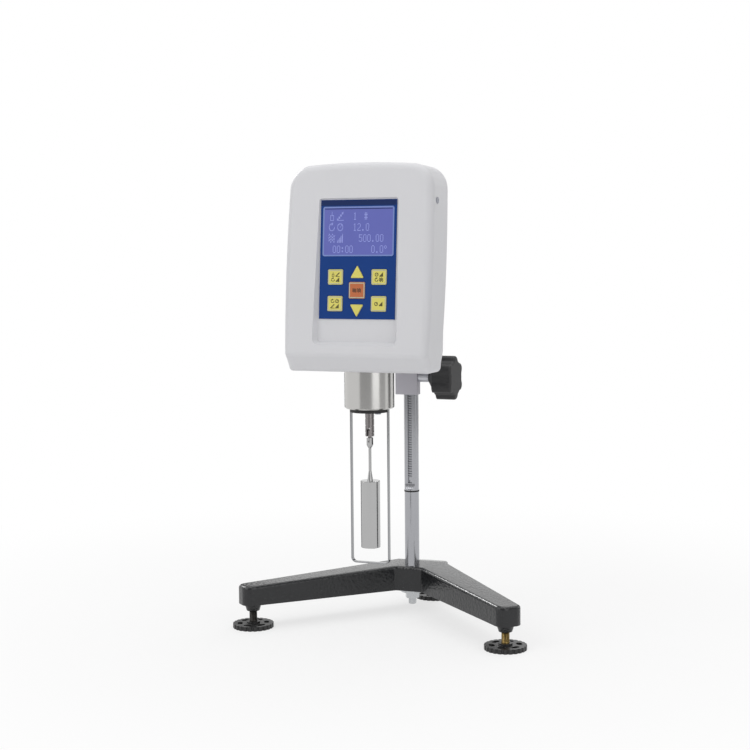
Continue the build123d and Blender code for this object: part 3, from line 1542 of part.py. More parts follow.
with BuildPart() as chassis_screws:
    for spot in PolarLocations(housing_screw_circle, 3, start_angle=90).locations:
        x, y = spot.position.X, spindle_y + spot.position.Y
        add(small_screw(x, y, base_top, (0, 0, 1), screw_length))
    for x, y in pillar_places:
        add(small_screw(x, y, plate_top, (0, 0, 1), screw_length))
    for side in (-1, 1):
        x = side * motor_screw_spread
        add(small_screw(x, motor_y, gear_plate_bottom, (0, 0, -1), screw_length - running_fit))
save(chassis_screws, "chassis_screws")

with BuildPart() as mount_screws:
    for x, z in mount_screw_places:
        length = mount_screw_depth - free_gap + cover_wall + chassis_thickness
        add(screw(
            front_plane(flange_front_y, z, x), length,
            mount_screw_radius, mount_screw_head_radius, mount_screw_head, mount_screw_socket,
        ))
save(mount_screws, "mount_screws")
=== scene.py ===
"""Bench viscometer with a hanging spindle: its finishes, fine visible details, light and camera.

Sizes of pieces are in millimetres and angles in degrees. The studio and the camera are set out in metres.
"""

import logging
import math
from dataclasses import dataclass
from enum import Enum

import bmesh
import bpy
from mathutils import Matrix, Vector

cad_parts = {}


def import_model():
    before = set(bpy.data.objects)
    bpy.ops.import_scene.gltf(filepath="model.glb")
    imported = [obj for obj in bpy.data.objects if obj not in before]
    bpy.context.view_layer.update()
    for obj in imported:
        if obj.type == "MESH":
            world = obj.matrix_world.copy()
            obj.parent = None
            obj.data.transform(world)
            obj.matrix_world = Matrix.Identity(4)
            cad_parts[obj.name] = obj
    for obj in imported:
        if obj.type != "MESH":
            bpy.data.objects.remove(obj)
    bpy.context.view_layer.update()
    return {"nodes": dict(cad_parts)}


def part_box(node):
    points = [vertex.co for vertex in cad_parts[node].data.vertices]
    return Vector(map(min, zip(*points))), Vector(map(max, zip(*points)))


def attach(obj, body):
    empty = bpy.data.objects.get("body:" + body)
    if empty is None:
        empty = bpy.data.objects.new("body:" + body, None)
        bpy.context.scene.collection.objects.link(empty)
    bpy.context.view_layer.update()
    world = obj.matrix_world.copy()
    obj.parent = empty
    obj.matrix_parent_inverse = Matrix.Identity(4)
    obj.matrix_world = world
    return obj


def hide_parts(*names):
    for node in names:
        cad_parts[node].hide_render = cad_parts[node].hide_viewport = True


log = logging.getLogger("viscometer")

MM = 0.001

# Mesh work: how near points are merged, how flat faces are joined, what stays a crease, how round is round.
WELD = 0.0005
SPUN_WELD = 0.001
FLAT_ANGLE = 0.2
SPUN_CREASE = 35.0
CORNER_STEPS = 6
EDGE_STEPS = 2

# Texture: octaves of each noise, and how fast they weaken.
MOTTLE_DETAIL = 4.0
GRAIN_DETAIL = 5.0
HAMMER_DETAIL = 2.0
GRAIN_FALLOFF = 0.45

# Dots along the side of a pictogram.
SYMBOL_SIZE = 13


# ---------------------------------------------------------------- finishes


class Grain(Enum):
    """How the surface of a finish is worked; the value stretches its noise along X, Y and Z."""

    MOULDED = (1.0, 1.0, 1.0)
    HAMMERED = (1.0, 1.0, 0.9)
    TURNED = (0.02, 0.02, 1.0)
    DRAWN = (1.0, 1.0, 0.01)
    BRUSHED_ACROSS = (0.02, 1.0, 1.0)


@dataclass(frozen=True)
class Finish:
    """One surface finish, with the texture it shows close up.

    Sizes and depths of the texture are in millimetres, the colour is sRGB from 0 to 255.
    """

    name: str
    colour: tuple[int, int, int]
    roughness: float
    metallic: float = 0.0
    grain: Grain = Grain.MOULDED
    grain_size: float = 0.5
    grain_depth: float = 0.01
    mottle: float = 0.04
    mottle_size: float = 35.0
    gloss_spread: float = 0.12
    coat: float = 0.0
    coat_roughness: float = 0.15
    specular: float = 0.5
    glow: float = 0.0

    def linear(self, share: float = 1.0) -> tuple[float, float, float, float]:
        """The colour in linear light.

        Args:
            share: factor on its brightness, which is clipped at white.

        Returns:
            Red, green, blue and an alpha of 1.
        """
        channels = []
        for value in self.colour:
            level = value / 255
            bright = level / 12.92 if level <= 0.04045 else ((level + 0.055) / 1.055) ** 2.4
            channels.append(min(1.0, bright * share))
        return (channels[0], channels[1], channels[2], 1.0)

    def material(self) -> bpy.types.Material:
        """Make the node material of this finish, or find it where it is already made.

        Returns:
            The shared material.
        """
        known = bpy.data.materials.get(self.name)
        if known is not None:
            return known
        made = bpy.data.materials.new(self.name)
        made.use_nodes = True
        made.diffuse_color = self.linear()
        tree = made.node_tree
        shader = tree.nodes["Principled BSDF"]
        shader.inputs["Metallic"].default_value = self.metallic
        shader.inputs["Specular IOR Level"].default_value = self.specular
        shader.inputs["Coat Weight"].default_value = self.coat
        shader.inputs["Coat Roughness"].default_value = self.coat_roughness
        if self.glow:
            shader.inputs["Emission Color"].default_value = self.linear()
            shader.inputs["Emission Strength"].default_value = self.glow
        place = tree.nodes.new("ShaderNodeTexCoord")
        self._mottle(tree, shader, place)
        self._texture(tree, shader, place)
        return made

    def _mottle(self, tree: bpy.types.NodeTree, shader: bpy.types.Node, place: bpy.types.Node) -> None:
        """Slow wander of the colour over the piece.

        Args:
            tree: node tree of the material.
            shader: its Principled shader.
            place: its texture coordinates.
        """
        cloud = tree.nodes.new("ShaderNodeTexNoise")
        cloud.inputs["Scale"].default_value = 1 / (self.mottle_size * MM)
        cloud.inputs["Detail"].default_value = MOTTLE_DETAIL
        blend = tree.nodes.new("ShaderNodeMix")
        blend.data_type = "RGBA"
        blend.inputs["A"].default_value = self.linear(1 - self.mottle)
        blend.inputs["B"].default_value = self.linear(1 + self.mottle)
        tree.links.new(place.outputs["Object"], cloud.inputs["Vector"])
        tree.links.new(cloud.outputs["Fac"], blend.inputs["Factor"])
        tree.links.new(blend.outputs["Result"], shader.inputs["Base Color"])

    def _texture(self, tree: bpy.types.NodeTree, shader: bpy.types.Node, place: bpy.types.Node) -> None:
        """Fine relief and the spread of the gloss that goes with it.

        Args:
            tree: node tree of the material.
            shader: its Principled shader.
            place: its texture coordinates.
        """
        stretch = tree.nodes.new("ShaderNodeMapping")
        stretch.inputs["Scale"].default_value = self.grain.value
        relief = tree.nodes.new("ShaderNodeTexNoise")
        relief.inputs["Scale"].default_value = 1 / (self.grain_size * MM)
        detail = HAMMER_DETAIL if self.grain is Grain.HAMMERED else GRAIN_DETAIL
        relief.inputs["Detail"].default_value = detail
        relief.inputs["Roughness"].default_value = GRAIN_FALLOFF
        bump = tree.nodes.new("ShaderNodeBump")
        bump.inputs["Distance"].default_value = self.grain_depth * MM
        gloss = tree.nodes.new("ShaderNodeMapRange")
        gloss.inputs["To Min"].default_value = self.roughness * (1 - self.gloss_spread)
        gloss.inputs["To Max"].default_value = self.roughness * (1 + self.gloss_spread)
        tree.links.new(place.outputs["Object"], stretch.inputs["Vector"])
        tree.links.new(stretch.outputs["Vector"], relief.inputs["Vector"])
        tree.links.new(relief.outputs["Fac"], bump.inputs["Height"])
        tree.links.new(relief.outputs["Fac"], gloss.inputs["Value"])
        tree.links.new(gloss.outputs["Result"], shader.inputs["Roughness"])
        tree.links.new(bump.outputs["Normal"], shader.inputs["Normal"])
        if self.coat:
            tree.links.new(bump.outputs["Normal"], shader.inputs["Coat Normal"])


SHELL_GREY = Finish(
    "shell_grey_moulded", (218, 218, 221), 0.46, grain_size=0.45, grain_depth=0.012, mottle=0.012,
    specular=0.4,
)
CAST_ENAMEL = Finish(
    "cast_black_enamel", (33, 34, 36), 0.2, grain=Grain.HAMMERED, grain_size=2.7, grain_depth=0.46,
    mottle=0.2, mottle_size=14.0, specular=0.45,
)
SATIN_CHROME = Finish(
    "satin_chrome_column", (166, 167, 171), 0.14, 1.0, Grain.DRAWN, 0.9, 0.0016, mottle=0.04,
)
TURNED_STEEL = Finish(
    "turned_steel_housing", (190, 189, 187), 0.2, 1.0, Grain.TURNED, 0.22, 0.008, mottle=0.05,
)
POLISHED_STEEL = Finish(
    "polished_steel_spindle", (176, 176, 176), 0.11, 1.0, Grain.TURNED, 0.18, 0.003, mottle=0.03,
)
BRIGHT_STRIP = Finish(
    "bright_steel_strip", (150, 151, 153), 0.2, 1.0, Grain.DRAWN, 0.8, 0.002, mottle=0.04,
)
BLUED_STEEL = Finish(
    "blued_steel_coupling", (134, 130, 130), 0.22, 1.0, Grain.TURNED, 0.25, 0.008, mottle=0.12,
    mottle_size=4.0,
)
ZINC_PLATE = Finish(
    "bright_zinc_plate", (188, 190, 192), 0.28, 1.0, Grain.MOULDED, 0.8, 0.012, mottle=0.08, mottle_size=8.0,
)
BLACK_OXIDE = Finish(
    "black_oxide_steel", (62, 60, 58), 0.42, 0.9, Grain.TURNED, 0.3, 0.01, mottle=0.15, mottle_size=6.0,
)
STUD_BRASS = Finish(
    "machined_brass_stud", (142, 120, 74), 0.34, 1.0, Grain.TURNED, 0.3, 0.012, mottle=0.18, mottle_size=5.0,
)
BLOCK_ANODISED = Finish(
    "grey_anodised_block", (176, 174, 181), 0.42, 0.75, Grain.MOULDED, 0.18, 0.006, mottle=0.03,
)
BUSH_ALUMINIUM = Finish(
    "pale_aluminium_bush", (196, 197, 202), 0.36, 0.85, Grain.BRUSHED_ACROSS, 0.25, 0.006, mottle=0.03,
)
KNOB_BLACK = Finish(
    "matt_black_knob", (50, 50, 51), 0.55, grain_size=0.5, grain_depth=0.03, mottle=0.06, specular=0.35,
)
FOOT_BLACK = Finish(
    "black_moulded_foot", (34, 34, 35), 0.36, grain_size=0.7, grain_depth=0.02, mottle=0.1, mottle_size=10.0,
)
RING_BLACK = Finish("black_nitrile_ring", (22, 22, 23), 0.6, grain_size=0.4, grain_depth=0.02)
PANEL_BLUE = Finish(
    "panel_blue_film", (24, 62, 130), 0.45, grain_size=0.35, grain_depth=0.006, mottle=0.05, mottle_size=22.0,
    specular=0.12,
)
# Navy print of the band above the display; the same colour is the painted shadow line under the display
# window's top edge.
PANEL_NAVY_PRINT_AND_SHADOW = Finish(
    "panel_navy_print_and_shadow", (28, 46, 92), 0.45, grain_size=0.35, grain_depth=0.006, mottle=0.05, mottle_size=22.0,
    specular=0.12,
)
DISPLAY_LIT = Finish(
    "display_lit_violet", (103, 109, 182), 0.12, grain_size=0.9, grain_depth=0.0008, mottle=0.04,
    mottle_size=28.0, specular=0.2, glow=0.08,
)
DISPLAY_DOTS = Finish(
    "display_bright_dots", (150, 158, 222), 0.25, grain_size=0.5, grain_depth=0.001, mottle=0.03, glow=0.15,
)
DISPLAY_RIM = Finish(
    "display_pale_rim", (118, 138, 198), 0.2, grain_size=0.5, grain_depth=0.001, mottle=0.05, glow=0.05,
)
KEY_YELLOW = Finish(
    "key_yellow_dome", (222, 212, 104), 0.36, grain_size=0.3, grain_depth=0.008, mottle=0.05, mottle_size=9.0,
)
KEY_ORANGE = Finish(
    "key_orange_dome", (190, 104, 58), 0.36, grain_size=0.3, grain_depth=0.008, mottle=0.06, mottle_size=9.0,
)
KEY_RIM = Finish("key_pale_rim", (190, 188, 160), 0.42, grain_size=0.3, grain_depth=0.004, mottle=0.08)
MARK_DARK = Finish("key_dark_print", (46, 40, 26), 0.5, grain_size=0.3, grain_depth=0.002, mottle=0.15)
SCREW_DARK = Finish(
    "dark_socket_screw", (168, 170, 180), 0.4, 0.1, Grain.MOULDED, 0.4, 0.01, mottle=0.1, mottle_size=3.0,
)
SHEET_STEEL = Finish("zinc_sheet_steel", (176, 178, 180), 0.35, 0.95, Grain.DRAWN, 0.5, 0.01, mottle=0.1)
BOARD_GREEN = Finish("green_circuit_board", (32, 92, 54), 0.4, grain_size=1.2, grain_depth=0.02, mottle=0.2)
PART_BLACK = Finish("black_moulded_part", (30, 30, 32), 0.42, grain_size=0.4, grain_depth=0.01, mottle=0.06)
GEAR_BRASS = Finish("hobbed_brass", (186, 156, 88), 0.28, 1.0, Grain.TURNED, 0.3, 0.008, mottle=0.1)
SPRING_BRONZE = Finish("spring_bronze", (176, 128, 82), 0.26, 1.0, Grain.TURNED, 0.3, 0.004, mottle=0.08)
DISC_BLACK = Finish("black_anodised_disc", (38, 38, 40), 0.45, 0.6, Grain.MOULDED, 0.3, 0.006, mottle=0.06)
LEVEL_FLUID = Finish(
    "level_yellow_fluid", (206, 214, 96), 0.06, grain_size=2.0, grain_depth=0.0005, mottle=0.05, coat=1.0,
    coat_roughness=0.02,
)
LEVEL_BUBBLE = Finish(
    "level_bubble", (236, 240, 190), 0.05, grain_size=2.0, grain_depth=0.0005, mottle=0.03, coat=1.0,
    coat_roughness=0.02,
)

# ---------------------------------------------------------------- shared mesh work


def add_piece(name: str, shape: bmesh.types.BMesh, finish: Finish, body: str) -> bpy.types.Object:
    """Turn a finished bmesh into a piece that rides on a body.

    Args:
        name: name of the new piece.
        shape: the mesh, already in place; it is freed.
        finish: finish of the whole piece.
        body: the body that carries it.

    Returns:
        The new object.
    """
    mesh = bpy.data.meshes.new(name)
    shape.to_mesh(mesh)
    shape.free()
    mesh.materials.append(finish.material())
    piece = bpy.data.objects.new(name, mesh)
    bpy.context.scene.collection.objects.link(piece)
    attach(piece, body)
    log.info("piece %s: %d faces, rides on %s", name, len(mesh.polygons), body)
    return piece


def dress(nodes: dict[str, bpy.types.Object], finishes: dict[str, Finish]) -> None:
    """Give frame pieces their finishes.

    Args:
        nodes: the frame's pieces by name.
        finishes: finish of each piece to dress.
    """
    for node, finish in finishes.items():
        mesh = nodes[node].data
        mesh.materials.clear()
        mesh.materials.append(finish.material())
        log.info("dressed %s in %s", node, finish.name)


def shade_smooth(shape: bmesh.types.BMesh, crease: float) -> None:
    """Smooth every face and keep the true creases sharp.

    Args:
        shape: the mesh to shade.
        crease: smallest angle between faces that stays a crease, in degrees.
    """
    limit = math.radians(crease)
    for face in shape.faces:
        face.smooth = True
    for edge in shape.edges:
        edge.smooth = len(edge.link_faces) == 2 and edge.calc_face_angle() < limit


def soften(
    nodes: dict[str, bpy.types.Object], node: str, finish: Finish, body: str,
    rounding: float = 0.0, crease: float = 28.0,
) -> bpy.types.Object:
    """Rebuild a frame piece with smooth faces, true creases and, if asked, rounded edges.

    Args:
        nodes: the frame's pieces by name.
        node: the piece to rebuild.
        finish: finish of the rebuilt piece.
        body: the body that carries it.
        rounding: width of the rounding along its creases, in millimetres.
        crease: smallest angle between faces that stays a crease, in degrees.

    Returns:
        The rebuilt piece, which stands for the frame piece.
    """
    shape = bmesh.new()
    shape.from_mesh(nodes[node].data)
    bmesh.ops.remove_doubles(shape, verts=shape.verts, dist=WELD * MM)
    bmesh.ops.dissolve_limit(
        shape, angle_limit=math.radians(FLAT_ANGLE), verts=shape.verts, edges=shape.edges,
        delimit={"NORMAL"},
    )
    shade_smooth(shape, crease)
    piece = add_piece(f"{node}_finished", shape, finish, body)
    if rounding:
        bevel = piece.modifiers.new("edge_rounding", "BEVEL")
        bevel.width = rounding * MM
        bevel.segments = EDGE_STEPS
        bevel.limit_method = "ANGLE"
        bevel.angle_limit = math.radians(crease)
        bevel.harden_normals = True
    else:
        piece.modifiers.new("even_shading", "WEIGHTED_NORMAL").keep_sharp = True
    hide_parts(node)
    return piece


def spun(profile: list[tuple[float, float]], centre: Vector, steps: int = 64) -> bmesh.types.BMesh:
    """Solid of revolution round a vertical axis.

    Args:
        profile: (radius, height) points in millimetres, height above the centre.
        centre: foot of the axis, in metres.
        steps: segments round the axis.

    Returns:
        The closed mesh, in place.
    """
    shape = bmesh.new()
    corners = [shape.verts.new(centre + Vector((radius * MM, 0, height * MM))) for radius, height in profile]
    for first, second in zip(corners, corners[1:]):
        shape.edges.new((first, second))
    bmesh.ops.spin(
        shape, geom=shape.verts[:] + shape.edges[:], cent=centre, axis=(0, 0, 1), angle=2 * math.pi,
        steps=steps, use_merge=True,
    )
    bmesh.ops.remove_doubles(shape, verts=shape.verts, dist=SPUN_WELD * MM)
    bmesh.ops.recalc_face_normals(shape, faces=shape.faces)
    shade_smooth(shape, SPUN_CREASE)
    return shape


def rounded_plate(
    width: float, height: float, corner: float, thickness: float, place: Matrix, hole_margin: float = 0.0,
) -> bmesh.types.BMesh:
    """Flat plate with rounded corners, or a frame of it.

    Args:
        width: along the plate's x axis, in millimetres.
        height: along its y axis.
        corner: radius of its corners.
        thickness: along its z axis.
        place: from the plate's own axes, in millimetres, to the part.
        hole_margin: width of the frame that is left; 0 leaves the plate whole.

    Returns:
        The closed mesh, in place.
    """
    shape = bmesh.new()
    bmesh.ops.create_grid(shape, x_segments=1, y_segments=1, size=0.5)
    bmesh.ops.scale(shape, verts=shape.verts, vec=(width, height, 1))
    bmesh.ops.bevel(
        shape, geom=shape.verts[:], offset=corner, offset_type="OFFSET", affect="VERTICES",
        segments=CORNER_STEPS, profile=0.5, material=-1,
    )
    if hole_margin:
        rim = bmesh.ops.inset_region(
            shape, faces=shape.faces[:], thickness=hole_margin, depth=0, use_boundary=True,
            use_even_offset=True,
        )["faces"]
        middle = [face for face in shape.faces if face not in rim]
        bmesh.ops.delete(shape, geom=middle, context="FACES")
    raised = bmesh.ops.extrude_face_region(shape, geom=shape.faces[:])["geom"]
    bmesh.ops.translate(
        shape, verts=[item for item in raised if isinstance(item, bmesh.types.BMVert)], vec=(0, 0, thickness),
    )
    bmesh.ops.recalc_face_normals(shape, faces=shape.faces)
    bmesh.ops.transform(shape, matrix=place, verts=shape.verts)
    return shape


class Symbol(Enum):
    """Plain pictograms of the display and the keys, drawn on a square of dots."""

    CYLINDER = "cylinder"
    TURN = "turn"
    BARS = "bars"
    WAVES = "waves"
    DIAL = "dial"
    STEPS = "steps"

    def dots(self) -> list[tuple[int, int]]:
        """Find the dots that draw the pictogram.

        Returns:
            Column and row of each dot, counted from the lower left corner.
        """
        middle = SYMBOL_SIZE // 2
        cells = [(column, row) for column in range(SYMBOL_SIZE) for row in range(SYMBOL_SIZE)]
        return [cell for cell in cells if self._inked(cell[0] - middle, cell[1] - middle, middle)]

    def _inked(self, x: int, y: int, reach: int) -> bool:
        """Whether the dot at (x, y) from the middle is drawn.

        Args:
            x: dots to the right of the middle.
            y: dots above the middle.
            reach: dots from the middle to the edge.

        Returns:
            True for a drawn dot.
        """
        ring = abs(math.hypot(x, y) - (reach - 1)) < 0.7
        if self is Symbol.CYLINDER:
            return (abs(x) == 3 and y <= 1) or (y in (1, -reach) and abs(x) <= 3) or (x == 0 and y > 1)
        if self is Symbol.TURN:
            return (ring and not (x > 0 and y > 0)) or (x + abs(y - reach + 1) <= 2 and x >= 0 and y > 2)
        if self is Symbol.BARS:
            return x % 3 != 0 and y <= x - 1 + x % 3
        if self is Symbol.WAVES:
            return any(abs(y - level - 1.6 * math.sin(x * 1.05)) < 0.65 for level in (-4, 0, 4))
        if self is Symbol.DIAL:
            return ring or (abs(x - y) < 1 and 0 <= x < reach - 1)
        return (y + reach) // 3 == (x + reach) // 3 or y == -reach


DIGIT_ROWS = {
    "0": (".###.", "#...#", "#...#", "#...#", "#...#", "#...#", "#...#", "#...#", ".###."),
    "1": ("..#..", ".##..", "..#..", "..#..", "..#..", "..#..", "..#..", "..#..", ".###."),
    "2": (".###.", "#...#", "....#", "....#", "...#.", "..#..", ".#...", "#....", "#####"),
    "5": ("#####", "#....", "#....", "####.", "....#", "....#", "....#", "#...#", ".###."),
    ".": (".....", ".....", ".....", ".....", ".....", ".....", ".....", ".##..", ".##.."),
    ":": (".....", ".....", ".##..", ".##..", ".....", ".....", ".##..", ".##..", "....."),
    "#": (".#.#.", ".#.#.", "#####", ".#.#.", ".#.#.", ".#.#.", "#####", ".#.#.", ".#.#."),
    "*": (".##..", "#..#.", "#..#.", ".##..", ".....", ".....", ".....", ".....", "....."),
}


def letter_dots(letter: str) -> list[tuple[int, int]]:
    """Find the dots that draw a figure of the display.

    Args:
        letter: one of the figures in DIGIT_ROWS.

    Returns:
        Column and row of each dot, counted from the lower left corner.
    """
    rows = DIGIT_ROWS[letter]
    return [
        (column, len(rows) - 1 - row)
        for row, line in enumerate(rows) for column, ink in enumerate(line) if ink == "#"
    ]


def add_dots(
    shape: bmesh.types.BMesh, dots: list[tuple[int, int]], corner: tuple[float, float],
    pitch: tuple[float, float], thickness: float, place: Matrix, fill: float = 0.86,
) -> None:
    """Add one small raised block for each dot.

    Args:
        shape: mesh that receives the blocks.
        dots: column and row of each dot.
        corner: lower left corner of the square of dots, in millimetres.
        pitch: distance between dots across and up.
        thickness: height of a block.
        place: from the plate's own axes, in millimetres, to the part.
        fill: share of the pitch that a block covers.
    """
    block = Matrix.Diagonal((pitch[0] * fill, pitch[1] * fill, thickness, 1))
    for column, row in dots:
        x = corner[0] + (column + 0.5) * pitch[0]
        y = corner[1] + (row + 0.5) * pitch[1]
        spot = Matrix.Translation((x, y, thickness / 2))
        bmesh.ops.create_cube(shape, size=1.0, matrix=place @ spot @ block)


# ---------------------------------------------------------------- stand


@dataclass
class Stand:
    """Three-legged casting, column and levelling feet."""

    nodes: dict[str, bpy.types.Object]
    cast_crease: float = 40.0
    thread_crease: float = 50.0
    foot_rounding: float = 0.35

    def build(self) -> None:
        """Dress the casting, the column with its fastening, and the three feet."""
        soften(self.nodes, "base_casting", CAST_ENAMEL, "stand", crease=self.cast_crease)
        soften(self.nodes, "column", SATIN_CHROME, "stand")
        soften(self.nodes, "column_ring", RING_BLACK, "stand")
        dress(self.nodes, {
            "rack_strip": SATIN_CHROME,
            "column_bolt": ZINC_PLATE,
            "column_washer": ZINC_PLATE,
            "column_nut": ZINC_PLATE,
        })
        for place in ("front_left", "front_right", "rear"):
            self.foot(place)

    def foot(self, place: str) -> None:
        """Dress one levelling foot.

        Args:
            place: which of the three feet.
        """
        stud = BLACK_OXIDE if place == "front_left" else STUD_BRASS
        disc, screw = f"foot_disc_{place}", f"foot_stud_{place}"
        soften(self.nodes, disc, FOOT_BLACK, disc, self.foot_rounding)
        soften(self.nodes, screw, stud, screw, crease=self.thread_crease)


# ---------------------------------------------------------------- rack lift


@dataclass
class RackLift:
    """Block that carries the head on the column, with its knob and pinion."""

    nodes: dict[str, bpy.types.Object]
    block_rounding: float = 0.4

    def build(self) -> None:
        """Dress the block, the bush, the knob and the running parts."""
        soften(self.nodes, "lift_block", BLOCK_ANODISED, "head", self.block_rounding)
        soften(self.nodes, "pinion_bush", BUSH_ALUMINIUM, "head")
        soften(self.nodes, "lift_knob", KNOB_BLACK, "lift_knob")
        dress(self.nodes, {
            "pinion_shaft": SHEET_STEEL,
            "brake_screw": SCREW_DARK,
            "mount_screws": SCREW_DARK,
        })


# ---------------------------------------------------------------- head


@dataclass
class HeadShell:
    """Two moulded covers with their screws and the level in the roof."""

    nodes: dict[str, bpy.types.Object]
    cover_crease: float = 24.0
    rim_width: float = 1.5
    rim_outer_chamfer: float = 0.4
    rim_inner_chamfer: float = 0.2
    vial_floor: float = 1.0
    vial_gap: float = 0.02
    fluid_drop: float = 0.5
    fluid_crown: float = 0.05
    fluid_crown_share: float = 0.6
    meniscus: float = 0.2
    target_radius: float = 4.0
    target_width: float = 0.3
    target_sunk: float = 0.02
    target_proud: float = 0.06
    bubble_radius: float = 2.6
    bubble_shoulder: float = 0.8
    bubble_shoulder_height: float = 0.16
    bubble_height: float = 0.22

    def build(self) -> None:
        """Dress the covers and the screws, and build the level."""
        soften(self.nodes, "front_cover", SHELL_GREY, "head", crease=self.cover_crease)
        soften(self.nodes, "rear_cover", SHELL_GREY, "head", crease=self.cover_crease)
        dress(self.nodes, {"cover_screws": SCREW_DARK})
        self.level()

    def level(self) -> None:
        """Vial of the level: metal rim, coloured fluid, target ring and bubble."""
        low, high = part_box("bubble_level")
        centre = Vector(((low.x + high.x) / 2, (low.y + high.y) / 2, low.z))
        radius = (high.x - low.x) / 2 / MM
        top = (high.z - low.z) / MM
        inner = radius - self.rim_width
        fluid = top - self.fluid_drop
        rim = add_piece("level_rim", spun([
            (0, 0), (radius, 0), (radius, top - self.rim_outer_chamfer),
            (radius - self.rim_outer_chamfer, top), (inner + self.rim_inner_chamfer, top),
            (inner, top - self.rim_inner_chamfer), (inner, self.vial_floor), (0, self.vial_floor),
        ], centre), ZINC_PLATE, "head")
        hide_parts("bubble_level")
        fluid_radius = inner - self.vial_gap
        add_piece("level_fluid", spun([
            (0, self.vial_floor), (fluid_radius, self.vial_floor), (fluid_radius, fluid - self.meniscus),
            (inner * self.fluid_crown_share, fluid), (0, fluid + self.fluid_crown),
        ], centre), LEVEL_FLUID, "head")
        target_outside = self.target_radius + self.target_width
        target_foot, target_top = fluid - self.target_sunk, fluid + self.target_proud
        add_piece("level_target", spun([
            (self.target_radius, target_foot), (target_outside, target_foot), (target_outside, target_top),
            (self.target_radius, target_top), (self.target_radius, target_foot),
        ], centre), MARK_DARK, "head")
        add_piece("level_air", spun([
            (0, fluid - self.fluid_crown), (self.bubble_radius, fluid),
            (self.bubble_radius * self.bubble_shoulder, fluid + self.bubble_shoulder_height),
            (0, fluid + self.bubble_height),
        ], centre), LEVEL_BUBBLE, "head")


